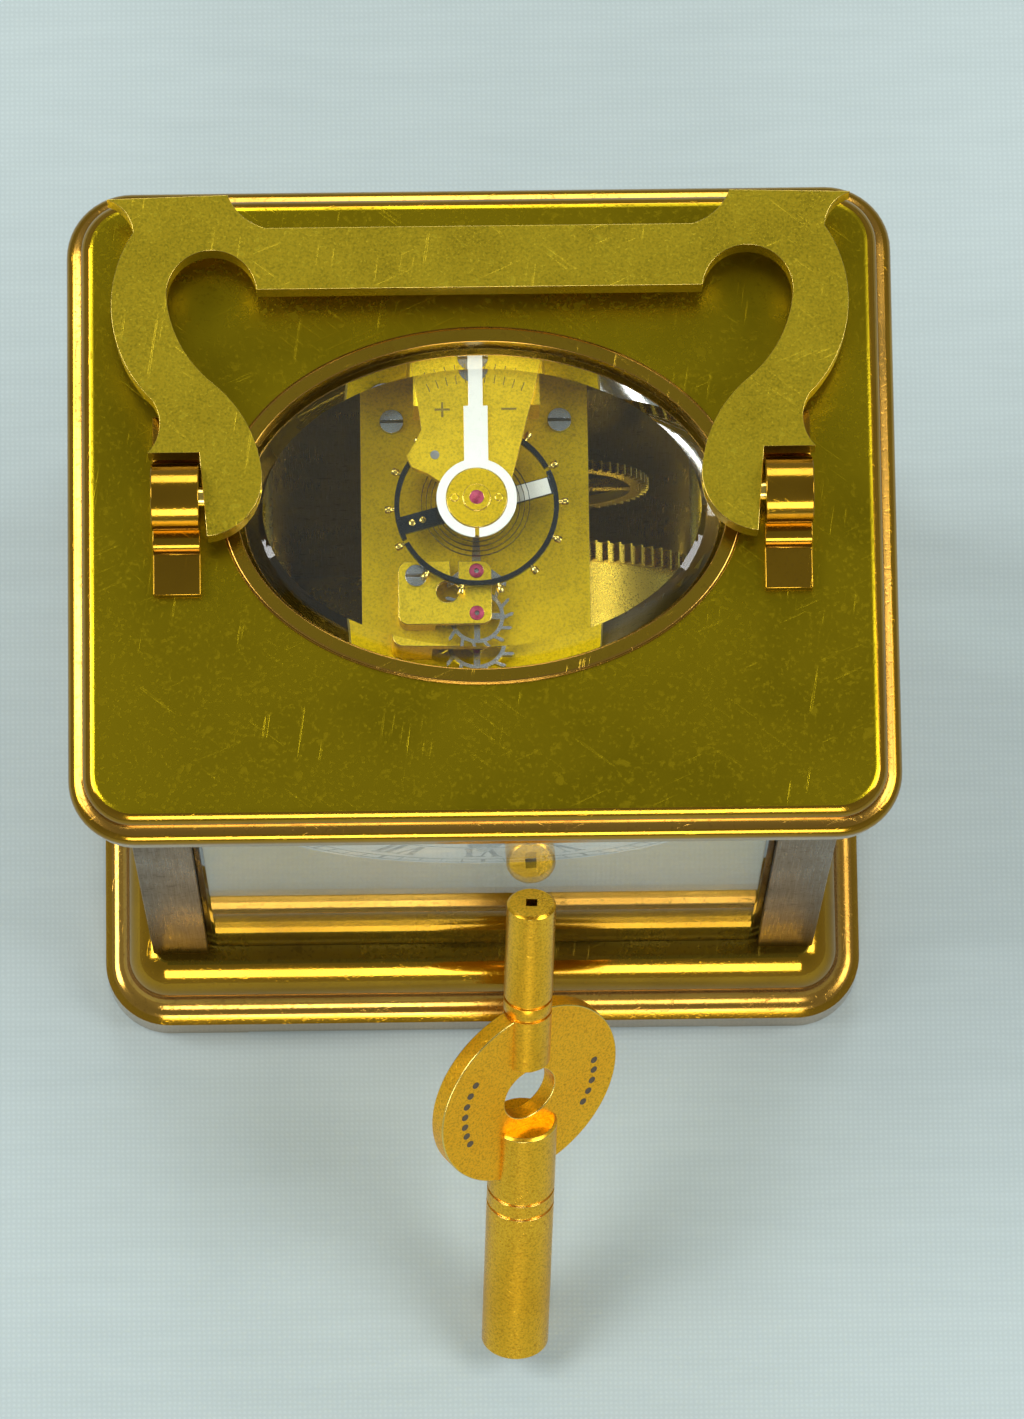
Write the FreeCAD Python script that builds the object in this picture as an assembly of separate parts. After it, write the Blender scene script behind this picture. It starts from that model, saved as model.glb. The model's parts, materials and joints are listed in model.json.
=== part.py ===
"""A brass carriage clock with an oval window over its lever platform, and its double-ended key.

Millimetres. +Z is up, the dial faces -Y, and the origin is under the middle of the case, on the surface
that its feet stand on. Every function below returns one piece, or one group of equal small pieces.
"""
import FreeCAD, Part
import math
import os

V = FreeCAD.Vector

# ---- case ----
BASE_X, BASE_Y, BASE_Z = 83.0, 67.0, 13.0
BASE_CORNER = 7.0
FOOT_RELIEF = 0.8
FOOT_X, FOOT_Y = 26.0, 18.0
FLOOR_UNDER = 9.5
COVER, COVER_CORNER, COVER_TOP = (31.0, 21.0), 2.0, 2.0
COVER_SCREW = (29.5, 19.5)
PILLAR_SCREW_R, PILLAR_SCREW_Z = 1.25, 20.0
TOP_X, TOP_Y, TOP_Z = 82.0, 66.0, 112.0
TOP_CORNER = 6.5
CORNICE = 8.5
PANEL = 2.5
EAVES_Z = TOP_Z - CORNICE
PILLAR = 6.0
PILLAR_X, PILLAR_Y = 36.0, 26.8
GROOVE = 1.0
GLASS = 2.0
GLASS_BACK = 0.5
GLASS_BEVEL, GLASS_BEVEL_DEPTH = 2.0, 0.8
SEAT = 0.8
SLIP = 0.05

# ---- oval window ----
OVAL_A, OVAL_B = 25.7, 18.1
BEZEL_RIM = 1.6
BEZEL_NECK = 0.8
BEZEL_PROUD = 0.4
OVAL_LIP = 0.9
OVAL_GLASS_Z, OVAL_GLASS = 108.9, 2.2
OVAL_BEVEL = 2.4

# ---- handle and its lugs ----
PIVOT_Z = 117.0
HANDLE = 3.0
LUG_X, LUG_W = 30.05, 4.7
KNUCKLE = 3.3
PIN_R = 1.0

# ---- back door ----
DOOR_GAP = 0.3
DOOR = 3.0
STILE = 3.5
REBATE = 0.8
HINGE_X = PILLAR_X - PILLAR - DOOR_GAP - DOOR / 2
HINGE_Y = PILLAR_Y - DOOR / 2
HINGE_R = 0.8
RUNNING = 0.06

# ---- movement frame ----
PLATE_X, PLATE_TOP = 27.0, 97.4
FRONT_Y0, FRONT_Y1 = -14.4, -12.2
BACK_Y0, BACK_Y1 = 15.0, 17.2
POST_X, POST_LOW, POST_HIGH, POST_R = 23.5, 19.0, 92.5, 2.5
ARBOR = 0.8
PIVOT = 0.4

# ---- dial ----
DIAL_Z, DIAL_R = 62.0, 23.0
MASK_Y0, MASK_Y1 = -20.4, -19.4

# ---- gear train: teeth and modules; arbors run along Y ----
GREAT, CENTRE_LEAVES, GREAT_M = 84, 12, 0.42
CENTRE, THIRD_LEAVES, CENTRE_M = 80, 8, 0.34
THIRD, CONTRATE_LEAVES, THIRD_M = 60, 8, 0.32
CONTRATE, ESCAPE_LEAVES, CONTRATE_M = 64, 8, 0.28
CANNON, MINUTE, CANNON_M = 14, 42, 0.30
MINUTE_LEAVES, HOUR, HOUR_M = 12, 48, 0.28
BARREL_ANGLE, THIRD_ANGLE, MINUTE_ANGLE = math.radians(290), math.radians(60), math.radians(225)
WHEEL_SHAPE = (0.85, 1.25, 0.22, 0.17, 0.08)
LEAF_SHAPE = (0.70, 1.30, 0.18, 0.14, 0.06)
GREAT_Y0, GREAT_Y1 = 6.0, 8.0
CENTRE_Y0, CENTRE_Y1 = -10.6, -9.6
THIRD_Y0, THIRD_Y1 = 10.0, 11.0
CROWN_BACK = -5.8
LEAF_OVERHANG = 0.6
DRUM_R, DRUM_BORE, ARBOR_THICK = 16.6, 15.7, 2.3
DRUM_Y0, LID_Y0 = -7.0, -8.0
WINDING_SQUARE, SETTING_SQUARE = 3.2, 1.13
RATCHET_R, RATCHET_TEETH, RATCHET_CUT = 7.0, 24, 0.9
RATCHET_Y0, RATCHET_Y1 = 17.6, 19.0
CLICK_PIVOT, CLICK_REACH = (9.9, 150), (7.2, 110)

# ---- platform escapement: arbors run along Z ----
PLATFORM_Z0, PLATFORM_Z1 = PLATE_TOP, 99.0
PLATFORM = (-12.05, 10.75, -14.4, 17.0)
STAFF = (-0.5, 1.9)
ESCAPE = (-0.6, -8.8)
PALLET = (-0.6, -4.5)
ESCAPE_R, ESCAPE_TEETH = 3.7, 15
BALANCE_R, BALANCE_RIM, BALANCE_Z0, BALANCE_Z1 = 8.2, 0.5, 102.5, 103.3
ARM_TURN = 15.0
TIMING_SCREWS = 14
COCK_Z0, COCK_Z1 = 104.8, 106.0
INDEX_Z0, INDEX_Z1 = 106.1, 106.4
RING_R, CAP_R = 4.0, 3.0
STUD = (-4.6, 6.4)
PLATFORM_SCREWS = [(-8.9, 11.4), (7.9, 11.4), (-8.9, -13.3), (7.9, -13.3)]
COCK_SCREW = (-0.7, 15.3)
BRIDGE_SCREW = (-6.6, -5.0)

# ---- key ----
KEY_LENGTH, KEY_LEAN, KEY_BOW_TURN = 62.0, 50.0, 36.0
KEY_BIG_R, KEY_BIG_L = 3.65, 32.0
KEY_SMALL_R, KEY_SMALL_L = 2.6, 21.6
BOW_R, BOW, BOW_HOLE = 11.3, 2.0, 3.2
SOCKET_PLAY = 0.05
KEY_FOOT_X, KEY_TIP_X = 3.0, 5.0

CENTRE_AT = (0.0, DIAL_Z)
BARREL_GAP = (GREAT + CENTRE_LEAVES) * GREAT_M / 2
BARREL_AT = (BARREL_GAP * math.cos(BARREL_ANGLE), DIAL_Z + BARREL_GAP * math.sin(BARREL_ANGLE))
THIRD_GAP = (CENTRE + THIRD_LEAVES) * CENTRE_M / 2
THIRD_AT = (THIRD_GAP * math.cos(THIRD_ANGLE), DIAL_Z + THIRD_GAP * math.sin(THIRD_ANGLE))
CONTRATE_GAP = (THIRD + CONTRATE_LEAVES) * THIRD_M / 2
CONTRATE_RISE = math.sqrt(CONTRATE_GAP**2 - (THIRD_AT[0] - ESCAPE[0]) ** 2)
CONTRATE_AT = (ESCAPE[0], THIRD_AT[1] + CONTRATE_RISE)
CONTRATE_R = CONTRATE * CONTRATE_M / 2
MINUTE_GAP = (CANNON + MINUTE) * CANNON_M / 2
MINUTE_AT = (MINUTE_GAP * math.cos(MINUTE_ANGLE), DIAL_Z + MINUTE_GAP * math.sin(MINUTE_ANGLE))
CONTRATE_ANGLE = math.atan2(CONTRATE_AT[1] - THIRD_AT[1], CONTRATE_AT[0] - THIRD_AT[0])


def from_barrel(reach, degrees):
    """The x and z of a place at that distance and angle from the barrel's arbor."""
    angle = math.radians(degrees)
    return (BARREL_AT[0] + reach * math.cos(angle), BARREL_AT[1] + reach * math.sin(angle))


CLICK_AT, CLICK_TIP = from_barrel(*CLICK_PIVOT), from_barrel(*CLICK_REACH)
CLICK_SPRING_AT = (CLICK_AT[0] - 5.0, CLICK_AT[1] + 3.4)
PANE_Z0, PANE_Z1 = BASE_Z - SEAT + SLIP, EAVES_Z + SEAT - SLIP
DOOR_Z0, DOOR_Z1 = BASE_Z + DOOR_GAP, EAVES_Z - DOOR_GAP
DOOR_X = PILLAR_X - PILLAR - DOOR_GAP
DOOR_Y0 = PILLAR_Y - DOOR


# ---------------------------------------------------------------- building blocks


def box(x0, x1, y0, y1, z0, z1):
    return Part.makeBox(x1 - x0, y1 - y0, z1 - z0, V(x0, y0, z0))


def rod_x(radius, y, z, x0, x1):
    return Part.makeCylinder(radius, x1 - x0, V(x0, y, z), V(1, 0, 0))


def rod_y(radius, at, y0, y1):
    return Part.makeCylinder(radius, y1 - y0, V(at[0], y0, at[1]), V(0, 1, 0))


def rod_z(radius, at, z0, z1):
    return Part.makeCylinder(radius, z1 - z0, V(at[0], at[1], z0), V(0, 0, 1))


def fuse(*pieces):
    return pieces[0].multiFuse(list(pieces[1:])).removeSplitter()


def prism(points, travel):
    """A solid with straight sides: the closed polygon through the points, pushed along travel."""
    return Part.Face(Part.makePolygon([*points, points[0]])).extrude(travel)


def four(dx, dy):
    """The four places at plus and minus dx and dy."""
    return [(sx * dx, sy * dy) for sx in (-1, 1) for sy in (-1, 1)]


def rounded_plate(half_x, half_y, radius, z0, z1):
    """An upright prism on a rectangle with round corners."""
    plate = box(-half_x, half_x, -half_y, half_y, z0, z1)
    upright = [e for e in plate.Edges if abs(e.tangentAt(e.FirstParameter).z) > 0.9]
    return plate.makeFillet(radius, upright)


def ellipse_prism(half_x, half_y, z0, z1):
    edge = Part.Ellipse(V(0, 0, z0), half_x, half_y).toShape()
    return Part.Face(Part.Wire([edge])).extrude(V(0, 0, z1 - z0))


def moulding(half_x, half_y, corner, edges):
    """A moulded frame and the slab inside it.

    edges draws the section: x is the distance outward from the corner's centre, and y is the height.
    The section runs straight along each side and turns about each corner's centre.
    """
    section = Part.Face(Part.Wire(edges))
    cx, cy = half_x - corner, half_y - corner
    box_z = section.BoundBox
    pieces = [box(-cx, cx, -cy, cy, box_z.YMin, box_z.YMax)]
    for turn, x, y, run in ((0, cx, -cy, 2 * cy), (90, cx, cy, 2 * cx), (180, -cx, cy, 2 * cy),
                            (270, -cx, -cy, 2 * cx)):
        side = section.copy()
        side.rotate(V(0, 0, 0), V(1, 0, 0), 90)
        side.rotate(V(0, 0, 0), V(0, 0, 1), turn)
        side.translate(V(x, y, 0))
        along = V(-math.sin(math.radians(turn)), math.cos(math.radians(turn)), 0)
        pieces.append(side.extrude(along * run))
        end = section.copy()
        end.rotate(V(0, 0, 0), V(1, 0, 0), 90)
        end.rotate(V(0, 0, 0), V(0, 0, 1), turn - 90)
        end.translate(V(x, y, 0))
        pieces.append(end.revolve(V(x, y, 0), V(0, 0, 1), 90))
    return fuse(*pieces)


def line(a, b):
    return Part.LineSegment(V(*a, 0), V(*b, 0)).toShape()


def arc(a, b, c):
    return Part.Arc(V(*a, 0), V(*b, 0), V(*c, 0)).toShape()


def gear_points(teeth, module, turn, shape):
    """The outline of a gear as radius and angle pairs, with one tooth centred on the angle turn."""
    above, below, half_root, half_pitch, half_tip = shape
    pitch = teeth * module / 2
    step = 2 * math.pi / teeth
    flank = ((pitch - below * module, half_root), (pitch, half_pitch), (pitch + above * module, half_tip))
    points = []
    for k in range(teeth):
        middle = turn + k * step
        points += [(r, middle - share * step) for r, share in flank]
        points += [(r, middle + share * step) for r, share in reversed(flank)]
    return points


def gear_y(teeth, module, turn, shape, at, y0, y1):
    """A gear on an arbor along Y. Angles run from +X towards +Z."""
    outline = gear_points(teeth, module, turn, shape)
    points = [V(at[0] + r * math.cos(a), y0, at[1] + r * math.sin(a)) for r, a in outline]
    return prism(points, V(0, y1 - y0, 0))


def in_mesh(turn, teeth, leaves, angle):
    """The turn of a pinion that puts a gap of it opposite a tooth of its wheel."""
    phase = (angle - turn) * teeth / (2 * math.pi)
    return angle + math.pi - (0.5 - phase) * 2 * math.pi / leaves


def crossed_out(wheel, at, y0, y1, rim, hub, arms, width):
    """Cuts a wheel's web to a rim, a hub and straight arms."""
    window = rod_y(rim, at, y0, y1).cut(rod_y(hub, at, y0, y1))
    bars = []
    for k in range(arms):
        bar = box(at[0], at[0] + rim, y0, y1, at[1] - width / 2, at[1] + width / 2)
        bar.rotate(V(at[0], 0, at[1]), V(0, 1, 0), 360.0 * k / arms)
        bars.append(bar)
    return wheel.cut(window.cut(bars))


def spiral(at, start_r, end_r, turns, strip, end_turn, steps):
    """The outline of a flat spiral strip, as x and y pairs round its two edges."""
    edges = ([], [])
    count = int(turns * steps)
    for k in range(count + 1):
        share = k / count
        angle = end_turn - (1 - share) * turns * 2 * math.pi
        for side, edge in zip((-0.5, 0.5), edges):
            r = start_r + share * (end_r - start_r) + side * strip
            edge.append((at[0] + r * math.cos(angle), at[1] + r * math.sin(angle)))
    return edges[0] + edges[1][::-1]


def screw_z(at, z_tip, z_head, z_top, shank, head):
    """A cheese-head screw along Z with a slot across its head."""
    slot = box(at[0] - head, at[0] + head, at[1] - 0.15, at[1] + 0.15, (z_head + z_top) / 2, z_top + 1)
    return fuse(rod_z(shank, at, z_tip, z_head), rod_z(head, at, z_head, z_top)).cut(slot)


# ---------------------------------------------------------------- case


def base_section():
    """The base moulding: a broad ovolo over a cove, a lip and a plain foot band."""
    r = BASE_CORNER
    out = [(0, 0), (r - 0.4, 0), (r, 0.4), (r, 5.6), (r - 0.7, 6.3), (r - 1.1, 6.5)]
    cove = ((r - 1.1, 6.5), (r - 2.1, 7.1), (r - 2.6, 8.2))
    ovolo = ((r - 2.6, 8.2), (r - 3.4, 11.2), (r - 6.0, BASE_Z))
    edges = [line(a, b) for a, b in zip(out, out[1:])]
    edges += [arc(*cove), arc(*ovolo), line(ovolo[2], (0, BASE_Z)), line((0, BASE_Z), (0, 0))]
    return edges


def base():
    body = moulding(BASE_X / 2, BASE_Y / 2, BASE_CORNER, base_section())
    tools = [
        box(-FOOT_X, FOOT_X, -BASE_Y, BASE_Y, -1, FOOT_RELIEF),
        box(-BASE_X, BASE_X, -FOOT_Y, FOOT_Y, -1, FOOT_RELIEF),
        rounded_plate(*COVER, COVER_CORNER, FOOT_RELIEF - 0.1, COVER_TOP),
        rounded_plate(29.0, 19.0, 2.0, 1.9, FLOOR_UNDER),
        *glass_seats(BASE_Z - SEAT, BASE_Z + 1),
    ]
    for at in four(PILLAR_X - PILLAR / 2, PILLAR_Y - PILLAR / 2):
        tools += [rod_z(PILLAR_SCREW_R, at, -1, BASE_Z + 1), rod_z(2.2, at, -1, 3.5)]
    for at in four(*COVER_SCREW):
        tools.append(rod_z(0.6, at, 0, 5.0))
    for side in (-1, 1):
        tools.append(rod_z(1.2, (side * POST_X, 0), 8, BASE_Z + 1))
    tools.append(rod_z(HINGE_R, (HINGE_X, HINGE_Y), BASE_Z - 3, BASE_Z + 1))
    return body.cut(tools)


def base_plate():
    plate = rounded_plate(COVER[0] - SLIP, COVER[1] - SLIP, COVER_CORNER, FOOT_RELIEF, COVER_TOP)
    holes = [rod_z(0.6, at, 0, 3) for at in four(*COVER_SCREW)]
    heads = [rod_z(0.9, at, 0, 1.3) for at in four(*COVER_SCREW)]
    return plate.cut(holes + heads)


def case_screws():
    """Four screws up into the corner pillars, four for the base plate, two up into the movement."""
    corner = four(PILLAR_X - PILLAR / 2, PILLAR_Y - PILLAR / 2)
    screws = [screw_up(at, PILLAR_SCREW_Z, 3.5, 1.6, PILLAR_SCREW_R, 2.2) for at in corner]
    screws += [screw_up(at, 5.0, 1.3, FOOT_RELIEF, 0.6, 0.9) for at in four(*COVER_SCREW)]
    screws += [screw_up((side * POST_X, 0), 17.5, FLOOR_UNDER, 7.7, 1.2, 2.4) for side in (-1, 1)]
    return Part.makeCompound(screws)


def screw_up(at, z_tip, z_head, z_top, shank, head):
    """A cheese-head screw that points up, with its head below."""
    slot = box(at[0] - head, at[0] + head, at[1] - 0.15, at[1] + 0.15, z_top - 1, (z_head + z_top) / 2)
    return fuse(rod_z(shank, at, z_head, z_tip), rod_z(head, at, z_top, z_head)).cut(slot)


def glass_seats(z0, z1):
    """The grooves that the edges of the three fixed panes stand in."""
    x1, y1 = PILLAR_X - PILLAR + GROOVE, PILLAR_Y - PILLAR + GROOVE
    ground = GLASS_BEVEL_DEPTH * (1 - GROOVE / GLASS_BEVEL)
    x_out, y_out = PILLAR_X - GLASS_BACK - ground, PILLAR_Y - GLASS_BACK - ground
    x_in, y_in = PILLAR_X - GLASS_BACK - GLASS, PILLAR_Y - GLASS_BACK - GLASS
    front = box(-x1, x1, -y_out - SLIP, -y_in + SLIP, z0, z1)
    left = box(-x_out - SLIP, -x_in + SLIP, -y1, y1, z0, z1)
    right = box(x_in - SLIP, x_out + SLIP, -y1, y1, z0, z1)
    return [front, left, right]


def pillars(side):
    """The two corner pillars at the front (-1) or at the back (1), with grooves for the panes."""
    made = []
    grooves = glass_seats(0, TOP_Z)
    for x_side in (-1, 1):
        x0, x1 = sorted((x_side * (PILLAR_X - PILLAR), x_side * PILLAR_X))
        y0, y1 = sorted((side * (PILLAR_Y - PILLAR), side * PILLAR_Y))
        pillar = box(x0, x1, y0, y1, BASE_Z, EAVES_Z)
        at = ((x0 + x1) / 2, (y0 + y1) / 2)
        made.append(pillar.cut([*grooves, rod_z(PILLAR_SCREW_R, at, 0, PILLAR_SCREW_Z)]))
    return Part.makeCompound(made)


def top_section():
    """The cornice, from the flat panel outwards and down: ovolo, quirk, bead, cove and fascia."""
    r, h = TOP_CORNER, TOP_Z
    ovolo = ((r - 2.9, h), (r - 1.9, h - 0.5), (r - 1.5, h - 1.7))
    bead = ((r - 1.1, h - 2.5), (r, h - 3.7), (r - 1.1, h - 4.9))
    cove = ((r - 1.3, h - 5.1), (r - 1.1, h - 5.6), (r - 0.6, h - 5.9))
    low = [cove[2], (r - 0.6, h - 8.1), (r - 1.0, h - CORNICE), (0, h - CORNICE), (0, h), ovolo[0]]
    edges = [arc(*ovolo), line(ovolo[2], (r - 1.5, h - 2.3)), line((r - 1.5, h - 2.3), bead[0])]
    edges += [arc(*bead), line(bead[2], cove[0]), arc(*cove)]
    edges += [line(a, b) for a, b in zip(low, low[1:])]
    return edges


def top():
    body = moulding(TOP_X / 2, TOP_Y / 2, TOP_CORNER, top_section())
    inner_x, inner_y = PILLAR_X - PILLAR + 2, PILLAR_Y - PILLAR + 2
    tools = [
        rounded_plate(inner_x, inner_y, 3.0, EAVES_Z - 1, TOP_Z - PANEL),
        ellipse_prism(OVAL_A - BEZEL_NECK, OVAL_B - BEZEL_NECK, EAVES_Z, TOP_Z + 1),
        *glass_seats(EAVES_Z - 1, EAVES_Z + SEAT),
        rod_z(HINGE_R, (HINGE_X, HINGE_Y), EAVES_Z - 1, EAVES_Z + 3),
    ]
    return body.cut(tools)


def bevelled_pane(length, height):
    """A pane standing on the XZ plane at y = 0..GLASS, with ground bevels round its outer (-Y) face."""
    pane = box(-length / 2, length / 2, 0, GLASS, 0, height)
    b, d = GLASS_BEVEL, GLASS_BEVEL_DEPTH
    for x in (-1, 1):
        edge = x * length / 2
        wedge = [V(edge, 0, 0), V(edge - x * b, 0, 0), V(edge, d, 0)]
        pane = pane.cut(prism(wedge, V(0, 0, height)))
    for z, into in ((0, 1), (height, -1)):
        wedge = [V(-length / 2, 0, z), V(-length / 2, 0, z + into * b), V(-length / 2, d, z)]
        pane = pane.cut(prism(wedge, V(length, 0, 0)))
    return pane


def front_glass():
    pane = bevelled_pane(2 * (PILLAR_X - PILLAR + GROOVE - SLIP), PANE_Z1 - PANE_Z0)
    pane.translate(V(0, -PILLAR_Y + GLASS_BACK, PANE_Z0))
    return pane


def side_glass(side):
    pane = bevelled_pane(2 * (PILLAR_Y - PILLAR + GROOVE - SLIP), PANE_Z1 - PANE_Z0)
    pane.rotate(V(0, 0, 0), V(0, 0, 1), 90 * side)
    pane.translate(V(side * (PILLAR_X - GLASS_BACK), 0, PANE_Z0))
    return pane


def oval_bezel():
    """A ring with a proud rounded rim, a neck in the top's oval hole and a lip under the glass."""
    rim = ellipse_prism(OVAL_A, OVAL_B, TOP_Z, TOP_Z + BEZEL_PROUD)
    rim = rim.makeChamfer(BEZEL_PROUD / 2, [e for e in rim.Edges if e.BoundBox.ZMin > TOP_Z + 0.1])
    neck = ellipse_prism(OVAL_A - BEZEL_NECK, OVAL_B - BEZEL_NECK, OVAL_GLASS_Z - OVAL_LIP, TOP_Z)
    bore = ellipse_prism(OVAL_A - BEZEL_RIM, OVAL_B - BEZEL_RIM, OVAL_GLASS_Z, TOP_Z + 1)
    lip = ellipse_prism(OVAL_A - BEZEL_RIM - OVAL_LIP, OVAL_B - BEZEL_RIM - OVAL_LIP,
                        OVAL_GLASS_Z - 2, OVAL_GLASS_Z)
    return fuse(rim, neck).cut([bore, lip])


def oval_glass():
    """The oval pane, ground to a bevel all round."""
    a, b = OVAL_A - BEZEL_RIM - SLIP, OVAL_B - BEZEL_RIM - SLIP
    edge_z, flat_z = OVAL_GLASS_Z + 1.0, OVAL_GLASS_Z + OVAL_GLASS
    low = ellipse_prism(a, b, OVAL_GLASS_Z, edge_z)
    rings = []
    for half_x, half_y, z in ((a, b, edge_z), (a - OVAL_BEVEL, b - OVAL_BEVEL, flat_z)):
        rings.append(Part.Wire([Part.Ellipse(V(0, 0, z), half_x, half_y).toShape()]))
    return fuse(low, Part.makeLoft(rings, True, True))


# ---------------------------------------------------------------- handle, lugs and door


def lug(side):
    """A stepped bracket: a foot, a rounded shoulder and a round knuckle for the pivot pin."""
    x0, x1 = side * LUG_X - LUG_W / 2, side * LUG_X + LUG_W / 2
    foot = box(x0, x1, -9.0, 9.0, TOP_Z, TOP_Z + 1.3)
    shoulder = box(x0, x1, -4.9, 4.9, TOP_Z, PIVOT_Z - HANDLE / 2 - 0.4)
    crest = [e for e in shoulder.Edges if e.BoundBox.ZMin > TOP_Z + 1 and e.BoundBox.XLength > 1]
    shoulder = shoulder.makeFillet(1.2, crest)
    neck = box(x0, x1, -2.2, 2.2, TOP_Z, PIVOT_Z)
    knuckle = rod_x(KNUCKLE, 0, PIVOT_Z, x0, x1)
    return fuse(foot, shoulder, neck, knuckle).cut(rod_x(PIN_R, 0, PIVOT_Z, x0 - 1, x1 + 1))


def handle_side():
    """Half of the handle's outline, x and y from the pivot line, from the grip's top to its underside."""
    tip, shoulder, barb = (36.6, 29.8), (24.7, 30.1), (32.7, 4.1)
    lobe = ((26.9, -4.3), (22.9, -2.2), (21.6, 2.6))
    sweep = ((21.6, 2.6), (23.2, 7.4), (26.2, 11.0))
    swell = ((26.2, 11.0), (29.9, 16.0), (30.8, 20.0))
    loop = ((30.8, 20.0), (26.6, 24.5), (21.9, 20.5))
    return [
        line((0, 26.7), (21.0, 26.7)),
        arc((21.0, 26.7), (23.2, 27.9), shoulder),
        line(shoulder, tip),
        arc(tip, (34.7, 28.4), (34.0, 26.4)),
        arc((34.0, 26.4), (36.2, 19.6), (32.2, 9.4)),
        arc((32.2, 9.4), (31.5, 6.9), barb),
        line(barb, (27.62, 4.1)),
        line((27.62, 4.1), lobe[0]),
        arc(*lobe),
        arc(*sweep),
        arc(*swell),
        arc(*loop),
        line((21.9, 20.5), (0, 20.5)),
    ]


def handle():
    """A flat pierced plate that lies back over the top, and its bores for the two pivot pins."""
    right = handle_side()
    left = [edge.mirror(V(0, 0, 0), V(1, 0, 0)) for edge in reversed(right)]
    outline = Part.Wire(Part.__sortEdges__(right + left))
    plate = Part.Face(outline).extrude(V(0, 0, HANDLE))
    plate.translate(V(0, 0, PIVOT_Z - HANDLE / 2))
    bores = [rod_x(PIN_R + RUNNING, 0, PIVOT_Z, *sorted((side * 20.0, side * 30.0))) for side in (-1, 1)]
    return plate.cut(bores)


def handle_pins():
    pins = []
    for side in (-1, 1):
        ends = sorted((side * (LUG_X + LUG_W / 2), side * 23.2))
        pins.append(rod_x(PIN_R, 0, PIVOT_Z, *ends))
    return Part.makeCompound(pins)


def door_frame():
    """The back door: a frame whose hinge edge is round about the pin, so that it turns in its gap."""
    frame = box(-DOOR_X, HINGE_X, DOOR_Y0, PILLAR_Y, DOOR_Z0, DOOR_Z1)
    frame = fuse(frame, rod_z(DOOR / 2, (HINGE_X, HINGE_Y), DOOR_Z0, DOOR_Z1))
    sight = box(-DOOR_X + STILE, DOOR_X - STILE, 0, 40, DOOR_Z0 + STILE, DOOR_Z1 - STILE)
    pane_front = DOOR_Y0 + GLASS_BACK + GLASS - GLASS_BEVEL_DEPTH * (1 - REBATE / GLASS_BEVEL)
    groove = box(-DOOR_X + STILE - REBATE, DOOR_X - STILE + REBATE,
                 DOOR_Y0 + GLASS_BACK - SLIP, pane_front + SLIP,
                 DOOR_Z0 + STILE - REBATE, DOOR_Z1 - STILE + REBATE)
    pin = rod_z(HINGE_R + RUNNING, (HINGE_X, HINGE_Y), 0, DOOR_Z0 + 2.5)
    high = rod_z(HINGE_R + RUNNING, (HINGE_X, HINGE_Y), DOOR_Z1 - 2.5, TOP_Z)
    knob_hole = rod_y(0.8, (-DOOR_X + STILE / 2, DIAL_Z), DOOR_Y0 - 1, PILLAR_Y + 1)
    return frame.cut([sight, groove, pin, high, knob_hole])


def door_glass():
    tucked = REBATE - SLIP
    pane = bevelled_pane(2 * (DOOR_X - STILE + tucked), DOOR_Z1 - DOOR_Z0 - 2 * (STILE - tucked))
    pane.rotate(V(0, 0, 0), V(0, 0, 1), 180)
    pane.translate(V(0, DOOR_Y0 + GLASS_BACK + GLASS, DOOR_Z0 + STILE - tucked))
    return pane


def door_knob():
    at = (-DOOR_X + STILE / 2, DIAL_Z)
    ball = Part.makeSphere(1.7, V(at[0], PILLAR_Y + 3.4, at[1]))
    return fuse(rod_y(0.8, at, DOOR_Y0 + 0.2, PILLAR_Y), rod_y(1.5, at, PILLAR_Y, PILLAR_Y + 0.7),
                rod_y(0.9, at, PILLAR_Y + 0.7, PILLAR_Y + 2.4), ball)


def door_pins():
    at = (HINGE_X, HINGE_Y)
    return Part.makeCompound([rod_z(HINGE_R, at, BASE_Z - 3, BASE_Z + 2.5),
                              rod_z(HINGE_R, at, EAVES_Z - 2.5, EAVES_Z + 3)])


# ---------------------------------------------------------------- movement frame and dial

def post_places():
    return [(x, z) for x in (-POST_X, POST_X) for z in (POST_LOW, POST_HIGH)]


def plate_holes(y0, y1):
    """The screw and arbor holes that the two plates share."""
    holes = [rod_y(1.0, at, y0, y1) for at in post_places()]
    holes += [rod_y(PIVOT + SLIP, at, y0, y1) for at in (THIRD_AT, CONTRATE_AT)]
    holes += [rod_y(ARBOR + SLIP, CENTRE_AT, y0, y1), rod_y(ARBOR_THICK + SLIP, BARREL_AT, y0, y1)]
    return holes


def front_plate():
    plate = box(-PLATE_X, PLATE_X, FRONT_Y0, FRONT_Y1, BASE_Z, PLATE_TOP)
    stud = rod_y(0.7, MINUTE_AT, FRONT_Y0 - 3.6, FRONT_Y0)
    holes = plate_holes(FRONT_Y0 - 1, FRONT_Y1 + 1)
    holes += [rod_z(0.7, at, PLATE_TOP - 4, PLATE_TOP + 1) for at in PLATFORM_SCREWS if at[1] < 0]
    return fuse(plate.cut(holes), stud)


def back_plate():
    """The back plate, with two small blocks inside its top edge for the platform's screws."""
    plate = box(-PLATE_X, PLATE_X, BACK_Y0, BACK_Y1, BASE_Z, PLATE_TOP)
    blocks = [box(x - 1.8, x + 1.8, 9.6, BACK_Y0, 93.6, PLATE_TOP) for x, y in PLATFORM_SCREWS if y > 0]
    holes = plate_holes(BACK_Y0 - 1, BACK_Y1 + 1)
    holes += [rod_z(0.7, at, PLATE_TOP - 3.4, PLATE_TOP + 1) for at in PLATFORM_SCREWS if at[1] > 0]
    holes += [rod_y(0.7, at, BACK_Y0 - 1, BACK_Y1 + 1) for at in (CLICK_AT, CLICK_SPRING_AT)]
    return fuse(plate, *blocks).cut(holes)


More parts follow.
